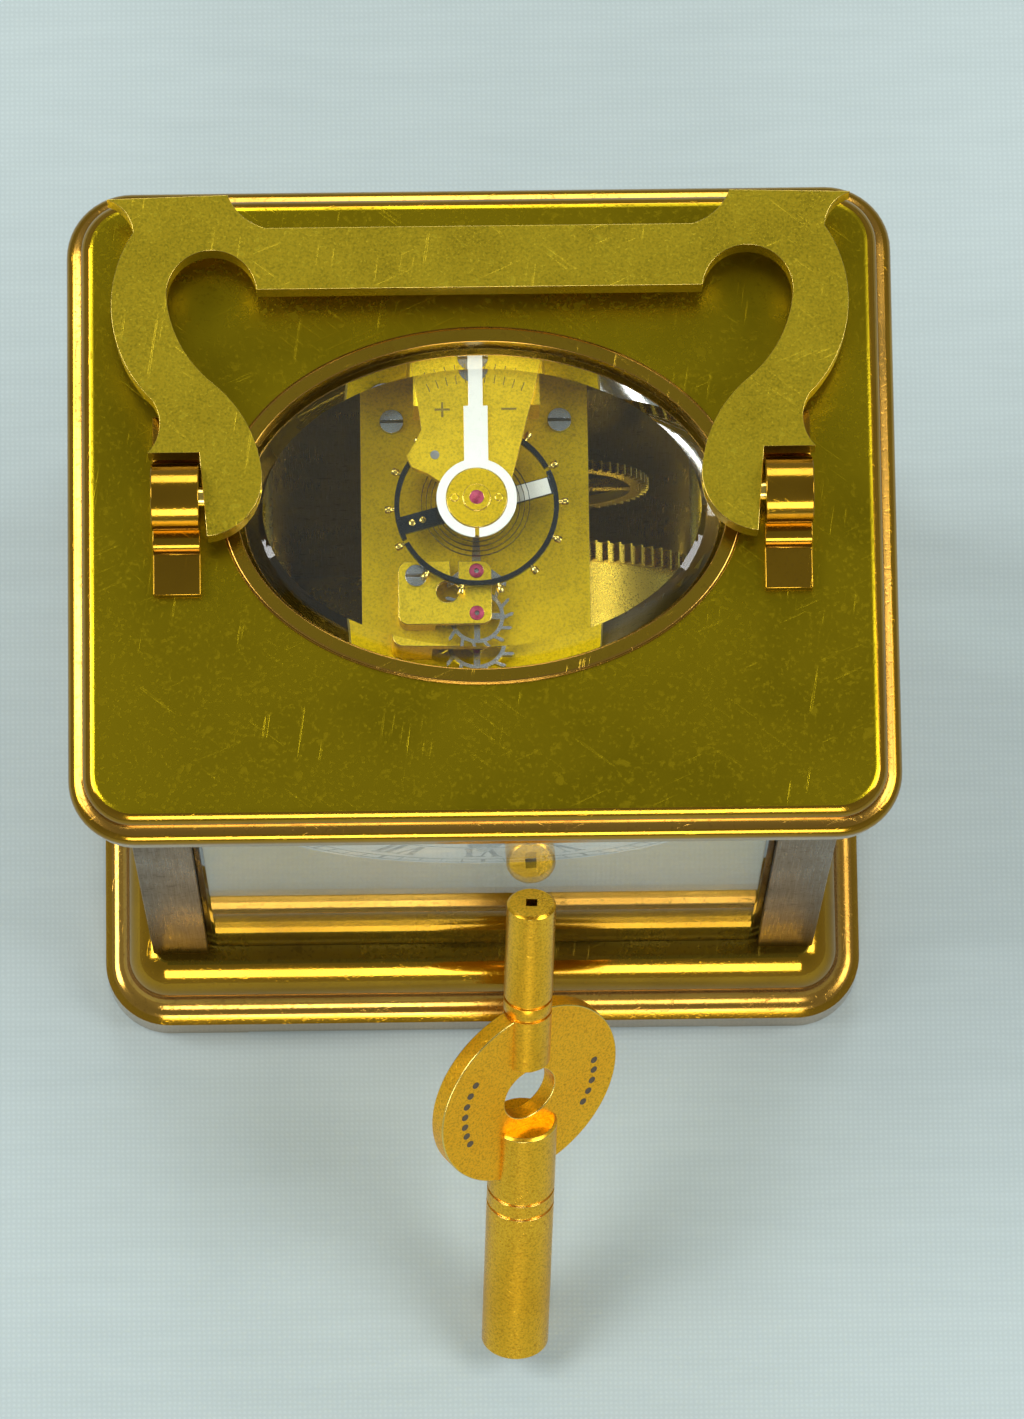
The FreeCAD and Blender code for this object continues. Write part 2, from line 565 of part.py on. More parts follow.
def plate_pillars():
    posts = []
    for at in post_places():
        post = fuse(rod_y(POST_R, at, FRONT_Y1, BACK_Y0), rod_y(3.1, at, FRONT_Y1, FRONT_Y1 + 1.5),
                    rod_y(3.1, at, BACK_Y0 - 1.5, BACK_Y0))
        holes = [rod_y(1.0, at, FRONT_Y1 - 1, FRONT_Y1 + 5), rod_y(1.0, at, BACK_Y0 - 5, BACK_Y0 + 1)]
        if at[1] == POST_LOW:
            holes.append(rod_z(1.2, (at[0], 0), BASE_Z, 17.5))
        posts.append(post.cut(holes))
    return Part.makeCompound(posts)


def plate_screws():
    """Four screws into each end of the movement's pillars."""
    screws = []
    for x, z in post_places():
        for face, out in ((FRONT_Y0, -1), (BACK_Y1, 1)):
            tip = face - out * 6.0
            head = rod_y(1.9, (x, z), *sorted((face, face + out * 1.2)))
            slot = box(x - 2, x + 2, *sorted((face + out * 0.7, face + out * 2)), z - 0.25, z + 0.25)
            screws.append(fuse(rod_y(1.0, (x, z), *sorted((tip, face))), head).cut(slot))
    return Part.makeCompound(screws)


def dial_mask():
    """The gilt plate round the dial, on four feet that meet the front plate."""
    mask = box(-29.8, 29.8, MASK_Y0, MASK_Y1, BASE_Z + 0.3, EAVES_Z - 0.3)
    feet = [rod_y(1.2, (x, z), MASK_Y1, FRONT_Y0) for x in (-24.5, 24.5) for z in (32.0, 84.0)]
    feet = [foot.cut(rod_y(DIAL_R + 1.4, CENTRE_AT, MASK_Y1, FRONT_Y0)) for foot in feet]
    return fuse(mask, *feet).cut(rod_y(DIAL_R + SLIP, CENTRE_AT, MASK_Y0 - 1, MASK_Y1 + 1))


def dial():
    face = rod_y(DIAL_R, CENTRE_AT, MASK_Y0, MASK_Y1)
    rim = rod_y(DIAL_R + 1.2, CENTRE_AT, MASK_Y1, MASK_Y1 + 0.6)
    return fuse(face, rim).cut(rod_y(2.2, CENTRE_AT, MASK_Y0 - 1, MASK_Y1 + 1))


def hand(length, width, boss, bore, ring_at, ring_r, y0, y1, turn):
    """A blued hand with a pierced moon near its tip. It points up before it is turned."""
    x, z = CENTRE_AT
    blade = [V(-width / 2, y0, 0), V(width / 2, y0, 0), V(width / 4, y0, ring_at), V(0, y0, length),
             V(-width / 4, y0, ring_at)]
    shape = prism(blade, V(0, y1 - y0, 0))
    ring = rod_y(ring_r, (0, ring_at), y0, y1).cut(rod_y(ring_r * 0.55, (0.25 * ring_r, ring_at), y0, y1))
    shape = fuse(shape.cut(rod_y(ring_r * 0.8, (0, ring_at), y0, y1)), ring, rod_y(boss, (0, 0), y0, y1))
    shape = shape.cut(rod_y(bore, (0, 0), y0 - 1, y1 + 1))
    shape.translate(V(x, 0, z))
    shape.rotate(V(x, 0, z), V(0, 1, 0), turn)
    return shape


# ---------------------------------------------------------------- going train


def barrel():
    """The going barrel: a drum with its toothed great wheel at the closed end."""
    wheel = gear_y(GREAT, GREAT_M, 0, WHEEL_SHAPE, BARREL_AT, GREAT_Y0, GREAT_Y1)
    drum = fuse(wheel, rod_y(DRUM_R, BARREL_AT, DRUM_Y0, GREAT_Y0))
    bore = rod_y(DRUM_BORE, BARREL_AT, LID_Y0, GREAT_Y1 - 1.2)
    return drum.cut([bore, rod_y(ARBOR_THICK + SLIP, BARREL_AT, 0, BACK_Y0)])


def barrel_cover():
    spigot = rod_y(DRUM_BORE - SLIP, BARREL_AT, DRUM_Y0, DRUM_Y0 + 0.8)
    lid = fuse(rod_y(DRUM_R, BARREL_AT, LID_Y0, DRUM_Y0), spigot)
    return lid.cut(rod_y(ARBOR_THICK + SLIP, BARREL_AT, FRONT_Y1, 0))


def mainspring():
    outline = spiral(BARREL_AT, 4.6, 15.2, 7, 0.5, 0, 20)
    return prism([V(x, -5.8, z) for x, z in outline], V(0, 12.2, 0))


def square_y(side, at, y0, y1):
    return box(at[0] - side / 2, at[0] + side / 2, y0, y1, at[1] - side / 2, at[1] + side / 2)


def winding_arbor():
    """The barrel's arbor, with a hub for the spring and a square for the key."""
    square = square_y(WINDING_SQUARE, BARREL_AT, BACK_Y1, 22.8)
    hub = rod_y(4.0, BARREL_AT, -5.8, 6.2)
    return fuse(rod_y(ARBOR_THICK, BARREL_AT, FRONT_Y0, BACK_Y1 + 0.2), hub, square)


def ratchet_wheel():
    """Saw teeth that point round one way. It sits on the square, outside the back plate."""
    outline = []
    for k in range(RATCHET_TEETH):
        degrees = 360.0 * k / RATCHET_TEETH
        for reach, turn in ((RATCHET_R, degrees), (RATCHET_R - RATCHET_CUT, degrees + 1.7)):
            x, z = from_barrel(reach, turn)
            outline.append(V(x, RATCHET_Y0, z))
    wheel = prism(outline, V(0, RATCHET_Y1 - RATCHET_Y0, 0))
    return wheel.cut(square_y(WINDING_SQUARE, BARREL_AT, BACK_Y1, RATCHET_Y1 + 1))


def click():
    """The pawl over the ratchet wheel, with its shouldered screw. It rests clear, on a tooth's crest."""
    along = V(CLICK_TIP[0] - CLICK_AT[0], 0, CLICK_TIP[1] - CLICK_AT[1])
    across = V(-along.z, 0, along.x).normalize()
    at, tip = V(CLICK_AT[0], RATCHET_Y0, CLICK_AT[1]), V(CLICK_TIP[0], RATCHET_Y0, CLICK_TIP[1])
    outline = [at + across * 1.5, at - across * 0.4, tip, tip + across * 0.9]
    arm = prism(outline, V(0, RATCHET_Y1 - RATCHET_Y0, 0))
    boss = rod_y(1.8, CLICK_AT, RATCHET_Y0, RATCHET_Y1)
    screw = fuse(rod_y(0.65, CLICK_AT, BACK_Y0, RATCHET_Y0), rod_y(1.2, CLICK_AT, RATCHET_Y1, 19.7))
    return fuse(arm, boss, screw)


def click_spring():
    """A curved blade on a screwed block. It stands just off the click's back."""
    x, z = CLICK_SPRING_AT
    block = fuse(rod_y(1.5, (x, z), 17.2, 18.8), rod_y(0.7, (x, z), BACK_Y0, 17.2))
    bend = [(0, 0.9), (3.4, 1.3), (7.4, 0.4), (7.4, 0.1), (3.4, 1.0), (0, 0.5)]
    blade = [V(x + dx, RATCHET_Y0, z + dz) for dx, dz in bend]
    return fuse(block, prism(blade, V(0, 1.1, 0)))


def centre_wheel():
    """The centre wheel and its pinion, on a pipe that grips the minute arbor like a clutch."""
    wheel = gear_y(CENTRE, CENTRE_M, 0, WHEEL_SHAPE, CENTRE_AT, CENTRE_Y0, CENTRE_Y1)
    wheel = crossed_out(wheel, CENTRE_AT, CENTRE_Y0, CENTRE_Y1, 11.6, 3.0, 4, 1.6)
    leaf_turn = in_mesh(0, GREAT, CENTRE_LEAVES, BARREL_ANGLE + math.pi)
    pinion = gear_y(CENTRE_LEAVES, GREAT_M, leaf_turn, LEAF_SHAPE, CENTRE_AT,
                    GREAT_Y0 - LEAF_OVERHANG, GREAT_Y1 + LEAF_OVERHANG)
    pipe = rod_y(1.6, CENTRE_AT, FRONT_Y1 + 0.4, BACK_Y0 - 0.4)
    return fuse(wheel, pinion, pipe).cut(rod_y(ARBOR + RUNNING, CENTRE_AT, FRONT_Y0, BACK_Y1))


def third_wheel():
    wheel = gear_y(THIRD, THIRD_M, 0, WHEEL_SHAPE, THIRD_AT, THIRD_Y0, THIRD_Y1)
    wheel = crossed_out(wheel, THIRD_AT, THIRD_Y0, THIRD_Y1, 8.0, 2.2, 4, 1.4)
    leaf_turn = in_mesh(0, CENTRE, THIRD_LEAVES, THIRD_ANGLE)
    pinion = gear_y(THIRD_LEAVES, CENTRE_M, leaf_turn, LEAF_SHAPE, THIRD_AT,
                    CENTRE_Y0 - LEAF_OVERHANG, CENTRE_Y1 + LEAF_OVERHANG)
    return fuse(wheel, pinion, *arbor_y(THIRD_AT))


def arbor_y(at):
    """A plain arbor between the plates, with a thinner pivot through each."""
    return [rod_y(ARBOR, at, FRONT_Y1 + 0.3, BACK_Y0 - 0.3), rod_y(PIVOT, at, FRONT_Y0, BACK_Y1)]


def contrate_wheel():
    """The crown wheel, whose teeth stand along the arbor and drive the upright escape pinion."""
    pitch_y = ESCAPE[1] + ESCAPE_LEAVES * CONTRATE_M / 2
    above, below, half_root, half_pitch, half_tip = WHEEL_SHAPE
    root_y, tip_y = pitch_y + below * CONTRATE_M, pitch_y - above * CONTRATE_M
    inner, outer = CONTRATE_R - 0.45, CONTRATE_R + 0.45
    ring = rod_y(outer, CONTRATE_AT, root_y, CROWN_BACK).cut(rod_y(inner, CONTRATE_AT, root_y, CROWN_BACK))
    web = rod_y(inner, CONTRATE_AT, CROWN_BACK - 0.7, CROWN_BACK)
    web = crossed_out(web, CONTRATE_AT, CROWN_BACK - 0.7, CROWN_BACK, inner, 2.2, 4, 1.3)
    step = 2 * math.pi * CONTRATE_R / CONTRATE
    x, z = CONTRATE_AT
    low, sunk = z + inner + 0.03, root_y + 0.15
    flank = ((half_root, sunk), (half_root, root_y), (half_pitch, pitch_y), (half_tip, tip_y))
    outline = [V(x - share * step, y, low) for share, y in flank]
    outline += [V(x + share * step, y, low) for share, y in reversed(flank)]
    tooth = prism(outline, V(0, 0, 0.82))
    teeth = []
    for k in range(CONTRATE):
        one = tooth.copy()
        one.rotate(V(x, 0, z), V(0, 1, 0), 360.0 * k / CONTRATE)
        teeth.append(one)
    leaf_turn = in_mesh(0, THIRD, CONTRATE_LEAVES, CONTRATE_ANGLE)
    pinion = gear_y(CONTRATE_LEAVES, THIRD_M, leaf_turn, LEAF_SHAPE, CONTRATE_AT,
                    THIRD_Y0 - LEAF_OVERHANG, THIRD_Y1 + LEAF_OVERHANG)
    return fuse(ring, web, pinion, *arbor_y(CONTRATE_AT), *teeth)


def minute_arbor():
    """The long arbor through the movement: hand end, cannon pinion, and a setting square behind."""
    cannon = gear_y(CANNON, CANNON_M, 0, LEAF_SHAPE, CENTRE_AT, -16.0, -14.8)
    square = square_y(SETTING_SQUARE, CENTRE_AT, BACK_Y1 + 0.2, 22.5)
    return fuse(rod_y(ARBOR, CENTRE_AT, -23.4, BACK_Y1 + 0.3), cannon, square)


def minute_wheel():
    turn = in_mesh(0, CANNON, MINUTE, MINUTE_ANGLE)
    wheel = gear_y(MINUTE, CANNON_M, turn, WHEEL_SHAPE, MINUTE_AT, -15.7, -15.1)
    leaves = gear_y(MINUTE_LEAVES, HOUR_M, 0, LEAF_SHAPE, MINUTE_AT, -17.9, -15.7)
    return fuse(wheel, leaves).cut(rod_y(0.7 + SLIP, MINUTE_AT, -20, -14))


def hour_wheel():
    turn = in_mesh(0, MINUTE_LEAVES, HOUR, MINUTE_ANGLE + math.pi)
    wheel = gear_y(HOUR, HOUR_M, turn, WHEEL_SHAPE, CENTRE_AT, -17.7, -17.1)
    pipe = rod_y(1.6, CENTRE_AT, -21.8, -17.1)
    return fuse(wheel, pipe).cut(rod_y(ARBOR + RUNNING, CENTRE_AT, -23, -16))


# ---------------------------------------------------------------- platform escapement


def platform():
    x0, x1, y0, y1 = PLATFORM
    plate = box(x0, x1, y0, y1, PLATFORM_Z0, PLATFORM_Z1)
    low, high = PLATFORM_Z0 - 1, PLATFORM_Z1 + 1
    holes = [rod_z(0.7, at, low, high) for at in PLATFORM_SCREWS]
    holes += [rod_z(0.5 + SLIP, ESCAPE, low, high)]
    holes += [rod_z(0.3, at, low, high) for at in (PALLET, STAFF)]
    holes += [rod_z(0.8, COCK_SCREW, low, high), rod_z(0.5, BRIDGE_SCREW, low, high)]
    return plate.cut(holes)


def platform_screws():
    """Four screws down into the plates, and the balance cock's sunk screw."""
    head_z = PLATFORM_Z1 + 0.8
    screws = [screw_z(at, PLATE_TOP - 3, PLATFORM_Z1, head_z, 0.7, 1.2) for at in PLATFORM_SCREWS]
    screws.append(screw_z(COCK_SCREW, PLATFORM_Z0 + 0.2, COCK_Z0 + 0.3, COCK_Z1 - 0.1, 0.8, 1.5))
    return Part.makeCompound(screws)


def bridge_screw():
    return screw_z(BRIDGE_SCREW, PLATFORM_Z0 + 0.2, 101.9, 102.3, 0.5, 1.1)


def escape_bridge():
    """The small bridge over the escape wheel and pallets, with two jewel holes and a sight hole."""
    plate = box(-8.4, 0.9, -9.9, -3.5, 101.2, 101.9)
    upright = [e for e in plate.Edges if e.BoundBox.ZLength > 0.5]
    plate = plate.makeFillet(1.0, upright)
    foot = box(-8.4, -4.7, -9.9, -3.5, PLATFORM_Z1, 101.2)
    foot_edges = [e for e in foot.Edges if e.BoundBox.ZLength > 0.5 and e.BoundBox.XMax < -8]
    foot = foot.makeFillet(1.0, foot_edges)
    holes = [rod_z(0.7, ESCAPE, 100, 103), rod_z(0.7, PALLET, 100, 103), rod_z(0.5, BRIDGE_SCREW, 98, 103)]
    holes += [rod_z(1.1, (-3.5, -6.6), 101, 103), box(-3.2, -2.4, -5.4, -3.0, 101, 103)]
    return fuse(plate, foot).cut(holes)


def lower_cock():
    """A bracket under the platform for the escape arbor's lower pivot."""
    x, y = ESCAPE
    back = box(x - 2, x + 2, FRONT_Y1, y - 1.8, 88.2, PLATFORM_Z0)
    arm = box(x - 2, x + 2, y - 1.8, y + 0.65, 88.2, 89.2)
    return fuse(back, arm).cut(rod_z(0.3, ESCAPE, 88, 90))


def balance_cock():
    """A tapered arm over the balance, standing on a foot at the back of the platform."""
    x, y = STAFF
    points = [(5.9, 17.0), (5.9, 15.2), (x + 3.4, y + 1.6), (x - 3.4, y + 1.6), (-5.3, 4.5), (-6.9, 5.2),
              (-7.4, 6.3), (-6.6, 7.6), (-5.9, 9.0), (-6.7, 15.4), (-6.7, 17.0)]
    arm = prism([V(px, py, COCK_Z0) for px, py in points], V(0, 0, COCK_Z1 - COCK_Z0))
    foot = box(-6.7, 5.9, 11.7, 17.0, PLATFORM_Z1, COCK_Z0)
    low, high = COCK_Z0 - 1, COCK_Z1 + 1
    holes = [rod_z(1.0, STAFF, low, high), rod_z(0.45, STUD, low, high)]
    holes += [rod_z(0.8, COCK_SCREW, PLATFORM_Z0, high), rod_z(1.5, COCK_SCREW, COCK_Z0 + 0.3, high)]
    return fuse(arm, rod_z(3.75, STAFF, COCK_Z0, COCK_Z1), foot).cut(holes)


def jewels():
    """Ruby bearings: the balance's above and on the cap, and the escape and pallet jewels."""
    stones = [rod_z(1.0, STAFF, 105.2, 105.9).cut(rod_z(0.2, STAFF, 105, 106)),
              rod_z(0.7, STAFF, INDEX_Z1 + 0.1, INDEX_Z1 + 0.3)]
    for at in (ESCAPE, PALLET):
        stones.append(rod_z(0.7, at, 101.4, 101.95).cut(rod_z(0.25, at, 101, 102)))
    return Part.makeCompound(stones)


def end_cap():
    """The brass disc over the balance jewel, inside the regulator's ring, with its two screws."""
    x, y = STAFF
    disc = rod_z(CAP_R, STAFF, COCK_Z1, INDEX_Z1 + 0.1)
    cap_z = INDEX_Z1 + 0.1
    setting = rod_z(1.36, STAFF, cap_z, cap_z + 0.2).cut(rod_z(0.7, STAFF, INDEX_Z1, INDEX_Z1 + 1))
    heads = [rod_z(0.38, (x + side * 2.2, y), cap_z, cap_z + 0.15) for side in (-1, 1)]
    return fuse(disc, setting, *heads)


def regulator():
    """The polished index: a slotted ring round the end cap and a long stepped pointer."""
    x, y = STAFF
    ring = rod_z(RING_R, STAFF, INDEX_Z0, INDEX_Z1)
    broad = box(x - 1.2, x + 1.2, y + 3.4, y + 9.4, INDEX_Z0, INDEX_Z1)
    slim = box(x - 0.72, x + 0.72, y + 9.4, y + 15.0, INDEX_Z0, INDEX_Z1)
    slot = box(x - 0.2, x + 0.2, y - 5, y, INDEX_Z0 - 1, INDEX_Z1 + 1)
    return fuse(ring, broad, slim).cut([rod_z(CAP_R + RUNNING, STAFF, 105, 107), slot])


def hairspring():
    end = math.atan2(STUD[1] - STAFF[1], STUD[0] - STAFF[0])
    reach = math.hypot(STUD[0] - STAFF[0], STUD[1] - STAFF[1]) - 0.5
    outline = spiral(STAFF, 1.2, reach, 9, 0.12, end, 24)
    return prism([V(x, y, 103.8) for x, y in outline], V(0, 0, 0.5))


def hairspring_stud():
    return rod_z(0.45, STUD, 103.6, COCK_Z1 + 0.05)


def balance():
    """The split rim, its two arms and its hub."""
    x, y = STAFF
    rim = rod_z(BALANCE_R, STAFF, BALANCE_Z0, BALANCE_Z1)
    rim = rim.cut(rod_z(BALANCE_R - BALANCE_RIM, STAFF, BALANCE_Z0, BALANCE_Z1))
    reach = BALANCE_R - 0.3
    arms = box(x - reach, x + reach, y - 0.9, y + 0.9, BALANCE_Z0 + 0.1, BALANCE_Z1 - 0.2)
    wheel = fuse(rim, arms, rod_z(1.5, STAFF, BALANCE_Z0, BALANCE_Z1))
    splits = []
    for side in (0, 180):
        gap = box(x + 6, x + 10, y - 0.2, y + 0.2, BALANCE_Z0 - 1, BALANCE_Z1 + 1)
        gap.rotate(V(x, y, 0), V(0, 0, 1), side + 12)
        splits.append(gap)
    wheel = wheel.cut([rod_z(0.6, STAFF, 100, 105), *splits])
    wheel.rotate(V(x, y, 0), V(0, 0, 1), ARM_TURN)
    return wheel


def timing_screws():
    """Small screws round the outside of the rim, none of them at an arm or at a split."""
    x, y = STAFF
    z = (BALANCE_Z0 + BALANCE_Z1) / 2
    screws = []
    for k in range(TIMING_SCREWS):
        turn = ARM_TURN + 360.0 / TIMING_SCREWS * (k + 0.5)
        out = V(math.cos(math.radians(turn)), math.sin(math.radians(turn)), 0)
        start = V(x, y, z) + out * BALANCE_R
        shank = Part.makeCylinder(0.22, 0.3, start, out)
        head = Part.makeCylinder(0.38, 0.65, start + out * 0.3, out)
        screws.append(fuse(shank, head))
    return Part.makeCompound(screws)


def balance_staff():
    """The staff with its roller below and the hairspring's collet above."""
    return fuse(rod_z(0.25, STAFF, PLATFORM_Z1 - 0.6, 101.0), rod_z(0.6, STAFF, 100.9, 104.6),
                rod_z(0.15, STAFF, 104.6, 105.7), rod_z(1.2, STAFF, 100.6, 101.1),
                rod_z(0.9, STAFF, 103.7, 104.4))


def escape_wheel():
    """Club teeth on a light wheel, with an upright arbor and the pinion at its lower end."""
    x, y = ESCAPE
    step = 2 * math.pi / ESCAPE_TEETH
    tooth = ((2.75, -0.10), (3.55, 0.02), (ESCAPE_R, 0.09), (3.45, 0.11), (2.75, 0.03))
    points = [(r, k * step + turn) for k in range(ESCAPE_TEETH) for r, turn in tooth]
    rim = prism([V(x + r * math.cos(a), y + r * math.sin(a), 100.0) for r, a in points], V(0, 0, 0.4))
    low, high = 99.9, 100.5
    window = rod_z(2.35, ESCAPE, low, high).cut(rod_z(0.9, ESCAPE, low, high))
    bars = [box(x - dx, x + dx, y - dy, y + dy, low, high) for dx, dy in ((3, 0.3), (0.3, 3))]
    leaf_turn = math.pi / 2 + math.pi / ESCAPE_LEAVES
    leaves = [V(x + r * math.cos(a), y + r * math.sin(a), 90.3)
              for r, a in gear_points(ESCAPE_LEAVES, CONTRATE_M, leaf_turn, LEAF_SHAPE)]
    pinion = prism(leaves, V(0, 0, 2.0))
    steps = ((0.25, 88.4, 89.4), (0.5, 89.3, 101.1), (0.2, 101.0, 101.7))
    arbor = [rod_z(radius, ESCAPE, z0, z1) for radius, z0, z1 in steps]
    return fuse(rim.cut(window.cut(bars)), pinion, *arbor)


def pallet_fork():
    """The lever: an anchor that spans the escape wheel, and a forked arm towards the balance."""
    x, y = PALLET
    half = [(0, -0.4), (1.2, -0.45), (2.25, -1.1), (2.9, -1.35), (3.0, -0.7), (1.6, 0.4), (0.5, 0.7)]
    half += [(0.3, 3.9), (0.6, 4.6), (0.25, 4.7), (0.2, 4.2)]
    outline = half + [(-px, py) for px, py in reversed(half[1:])]
    lever = prism([V(x + px, y + py, 100.0) for px, py in outline], V(0, 0, 0.5))
    return fuse(lever, rod_z(0.4, PALLET, 99.2, 101.1), rod_z(0.2, PALLET, 97.6, 101.7))


# ---------------------------------------------------------------- key


def stand_key(piece):
    """Leans a piece of the key from its upright pose on its winding end against the front glass."""
    lean = math.radians(KEY_LEAN)
    reach = KEY_LENGTH * math.cos(lean)
    tip_y = -PILLAR_Y + GLASS_BACK - SLIP - KEY_SMALL_R * math.sin(lean)
    yaw = math.degrees(math.atan2(KEY_TIP_X - KEY_FOOT_X, reach))
    piece.rotate(V(0, 0, 0), V(1, 0, 0), KEY_LEAN - 90)
    piece.rotate(V(0, 0, 0), V(0, 0, 1), -yaw)
    piece.translate(V(KEY_FOOT_X, tip_y - reach, KEY_BIG_R * math.cos(lean)))
    return piece


def bow_plate(radius, thickness):
    """The flat disc of the key, on the key's own axis, turned about it."""
    middle = KEY_BIG_L + (KEY_LENGTH - KEY_BIG_L - KEY_SMALL_L) / 2
    disc = Part.makeCylinder(radius, thickness, V(0, -thickness / 2, middle), V(0, 1, 0))
    disc.rotate(V(0, 0, 0), V(0, 0, 1), KEY_BOW_TURN)
    return disc


def key_tube(radius, z0, z1, square, depth, from_low, grooves):
    """A tube of the key with a square socket at its outer end and a pair of turned grooves."""
    tube = rod_z(radius, (0, 0), z0, z1)
    tube = tube.makeChamfer(0.3, [e for e in tube.Edges if e.BoundBox.ZLength < 0.1])
    low, high = (z0 - 1, z0 + depth) if from_low else (z1 - depth, z1 + 1)
    tools = [box(-square / 2, square / 2, -square / 2, square / 2, low, high), bow_plate(BOW_R + SLIP, BOW)]
    for z in grooves:
        cutter = rod_z(radius + 1, (0, 0), z - 0.2, z + 0.2)
        tools.append(cutter.cut(rod_z(radius - 0.2, (0, 0), z - 0.2, z + 0.2)))
    return tube.cut(tools)


def key_winding_tube():
    socket = WINDING_SQUARE + SOCKET_PLAY
    tube = key_tube(KEY_BIG_R, 0, KEY_BIG_L, socket, 9.0, True, (20.6, 22.6))
    return stand_key(tube)


def key_setting_tube():
    start = KEY_LENGTH - KEY_SMALL_L
    socket = SETTING_SQUARE + SOCKET_PLAY
    tube = key_tube(KEY_SMALL_R, start, KEY_LENGTH, socket, 7.0, False, (start + 7.2, start + 9.0))
    return stand_key(tube)


def key_bow():
    middle = KEY_BIG_L + (KEY_LENGTH - KEY_BIG_L - KEY_SMALL_L) / 2
    disc = bow_plate(BOW_R, BOW)
    hole = Part.makeCylinder(BOW_HOLE, 4, V(0, -2, middle), V(0, 1, 0))
    hole.rotate(V(0, 0, 0), V(0, 0, 1), KEY_BOW_TURN)
    return stand_key(disc.cut(hole))


# ---------------------------------------------------------------- writing the pieces

PIECES = {
    "base": base,
    "base_plate": base_plate,
    "case_screws": case_screws,
    "front_pillars": lambda: pillars(-1),
    "back_pillars": lambda: pillars(1),
    "top": top,
    "oval_bezel": oval_bezel,
    "oval_glass": oval_glass,
    "front_glass": front_glass,
    "left_glass": lambda: side_glass(-1),
    "right_glass": lambda: side_glass(1),
    "lug_left": lambda: lug(-1),
    "lug_right": lambda: lug(1),
    "handle": handle,
    "handle_pins": handle_pins,
    "door_frame": door_frame,
    "door_glass": door_glass,
    "door_knob": door_knob,
    "door_pins": door_pins,
    "front_plate": front_plate,
    "back_plate": back_plate,
    "plate_pillars": plate_pillars,
    "plate_screws": plate_screws,
    "dial": dial,
    "dial_mask": dial_mask,
    "hour_hand": lambda: hand(12.5, 1.8, 2.4, 1.6, 9.2, 1.5, -21.7, -21.3, -55),
    "minute_hand": lambda: hand(19.0, 1.5, 1.7, 0.8, 14.8, 1.3, -22.9, -22.5, 60),
    "barrel": barrel,
    "barrel_cover": barrel_cover,
    "mainspring": mainspring,
    "winding_arbor": winding_arbor,
    "ratchet_wheel": ratchet_wheel,
    "click": click,
    "click_spring": click_spring,
    "centre_wheel": centre_wheel,
    "third_wheel": third_wheel,
    "contrate_wheel": contrate_wheel,
    "minute_arbor": minute_arbor,
    "minute_wheel": minute_wheel,
    "hour_wheel": hour_wheel,
    "platform": platform,
    "platform_screws": platform_screws,
    "bridge_screw": bridge_screw,
    "escape_bridge": escape_bridge,
    "lower_cock": lower_cock,
    "balance_cock": balance_cock,
    "jewels": jewels,
    "end_cap": end_cap,
    "regulator": regulator,
    "hairspring": hairspring,
    "hairspring_stud": hairspring_stud,
    "balance": balance,
    "timing_screws": timing_screws,
    "balance_staff": balance_staff,
    "escape_wheel": escape_wheel,
    "pallet_fork": pallet_fork,
    "key_winding_tube": key_winding_tube,
    "key_setting_tube": key_setting_tube,
    "key_bow": key_bow,
}

os.makedirs("parts", exist_ok=True)
for name, make in PIECES.items():
    shape = make()
    shape.exportStep(f"parts/{name}.step")
    print(f"{name}: {len(shape.Solids)} solid(s), {shape.Volume:.1f} mm3, valid {shape.isValid()}")
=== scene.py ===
"""A brass carriage clock and its key, dressed round the frame of their mechanical model.

Metres. +Z is up, the dial faces -Y, and the origin is under the middle of the case. The frame's own parts
keep their places. Each class below finishes one sub-assembly: softened copies of the parts whose edges catch
the light, small fittings made by node trees, and a procedural finish on everything that shows.
"""
import json
import logging
import math
from dataclasses import dataclass
from enum import Enum
from typing import Callable, Sequence

import bmesh
import bpy
from mathutils import Matrix, Vector

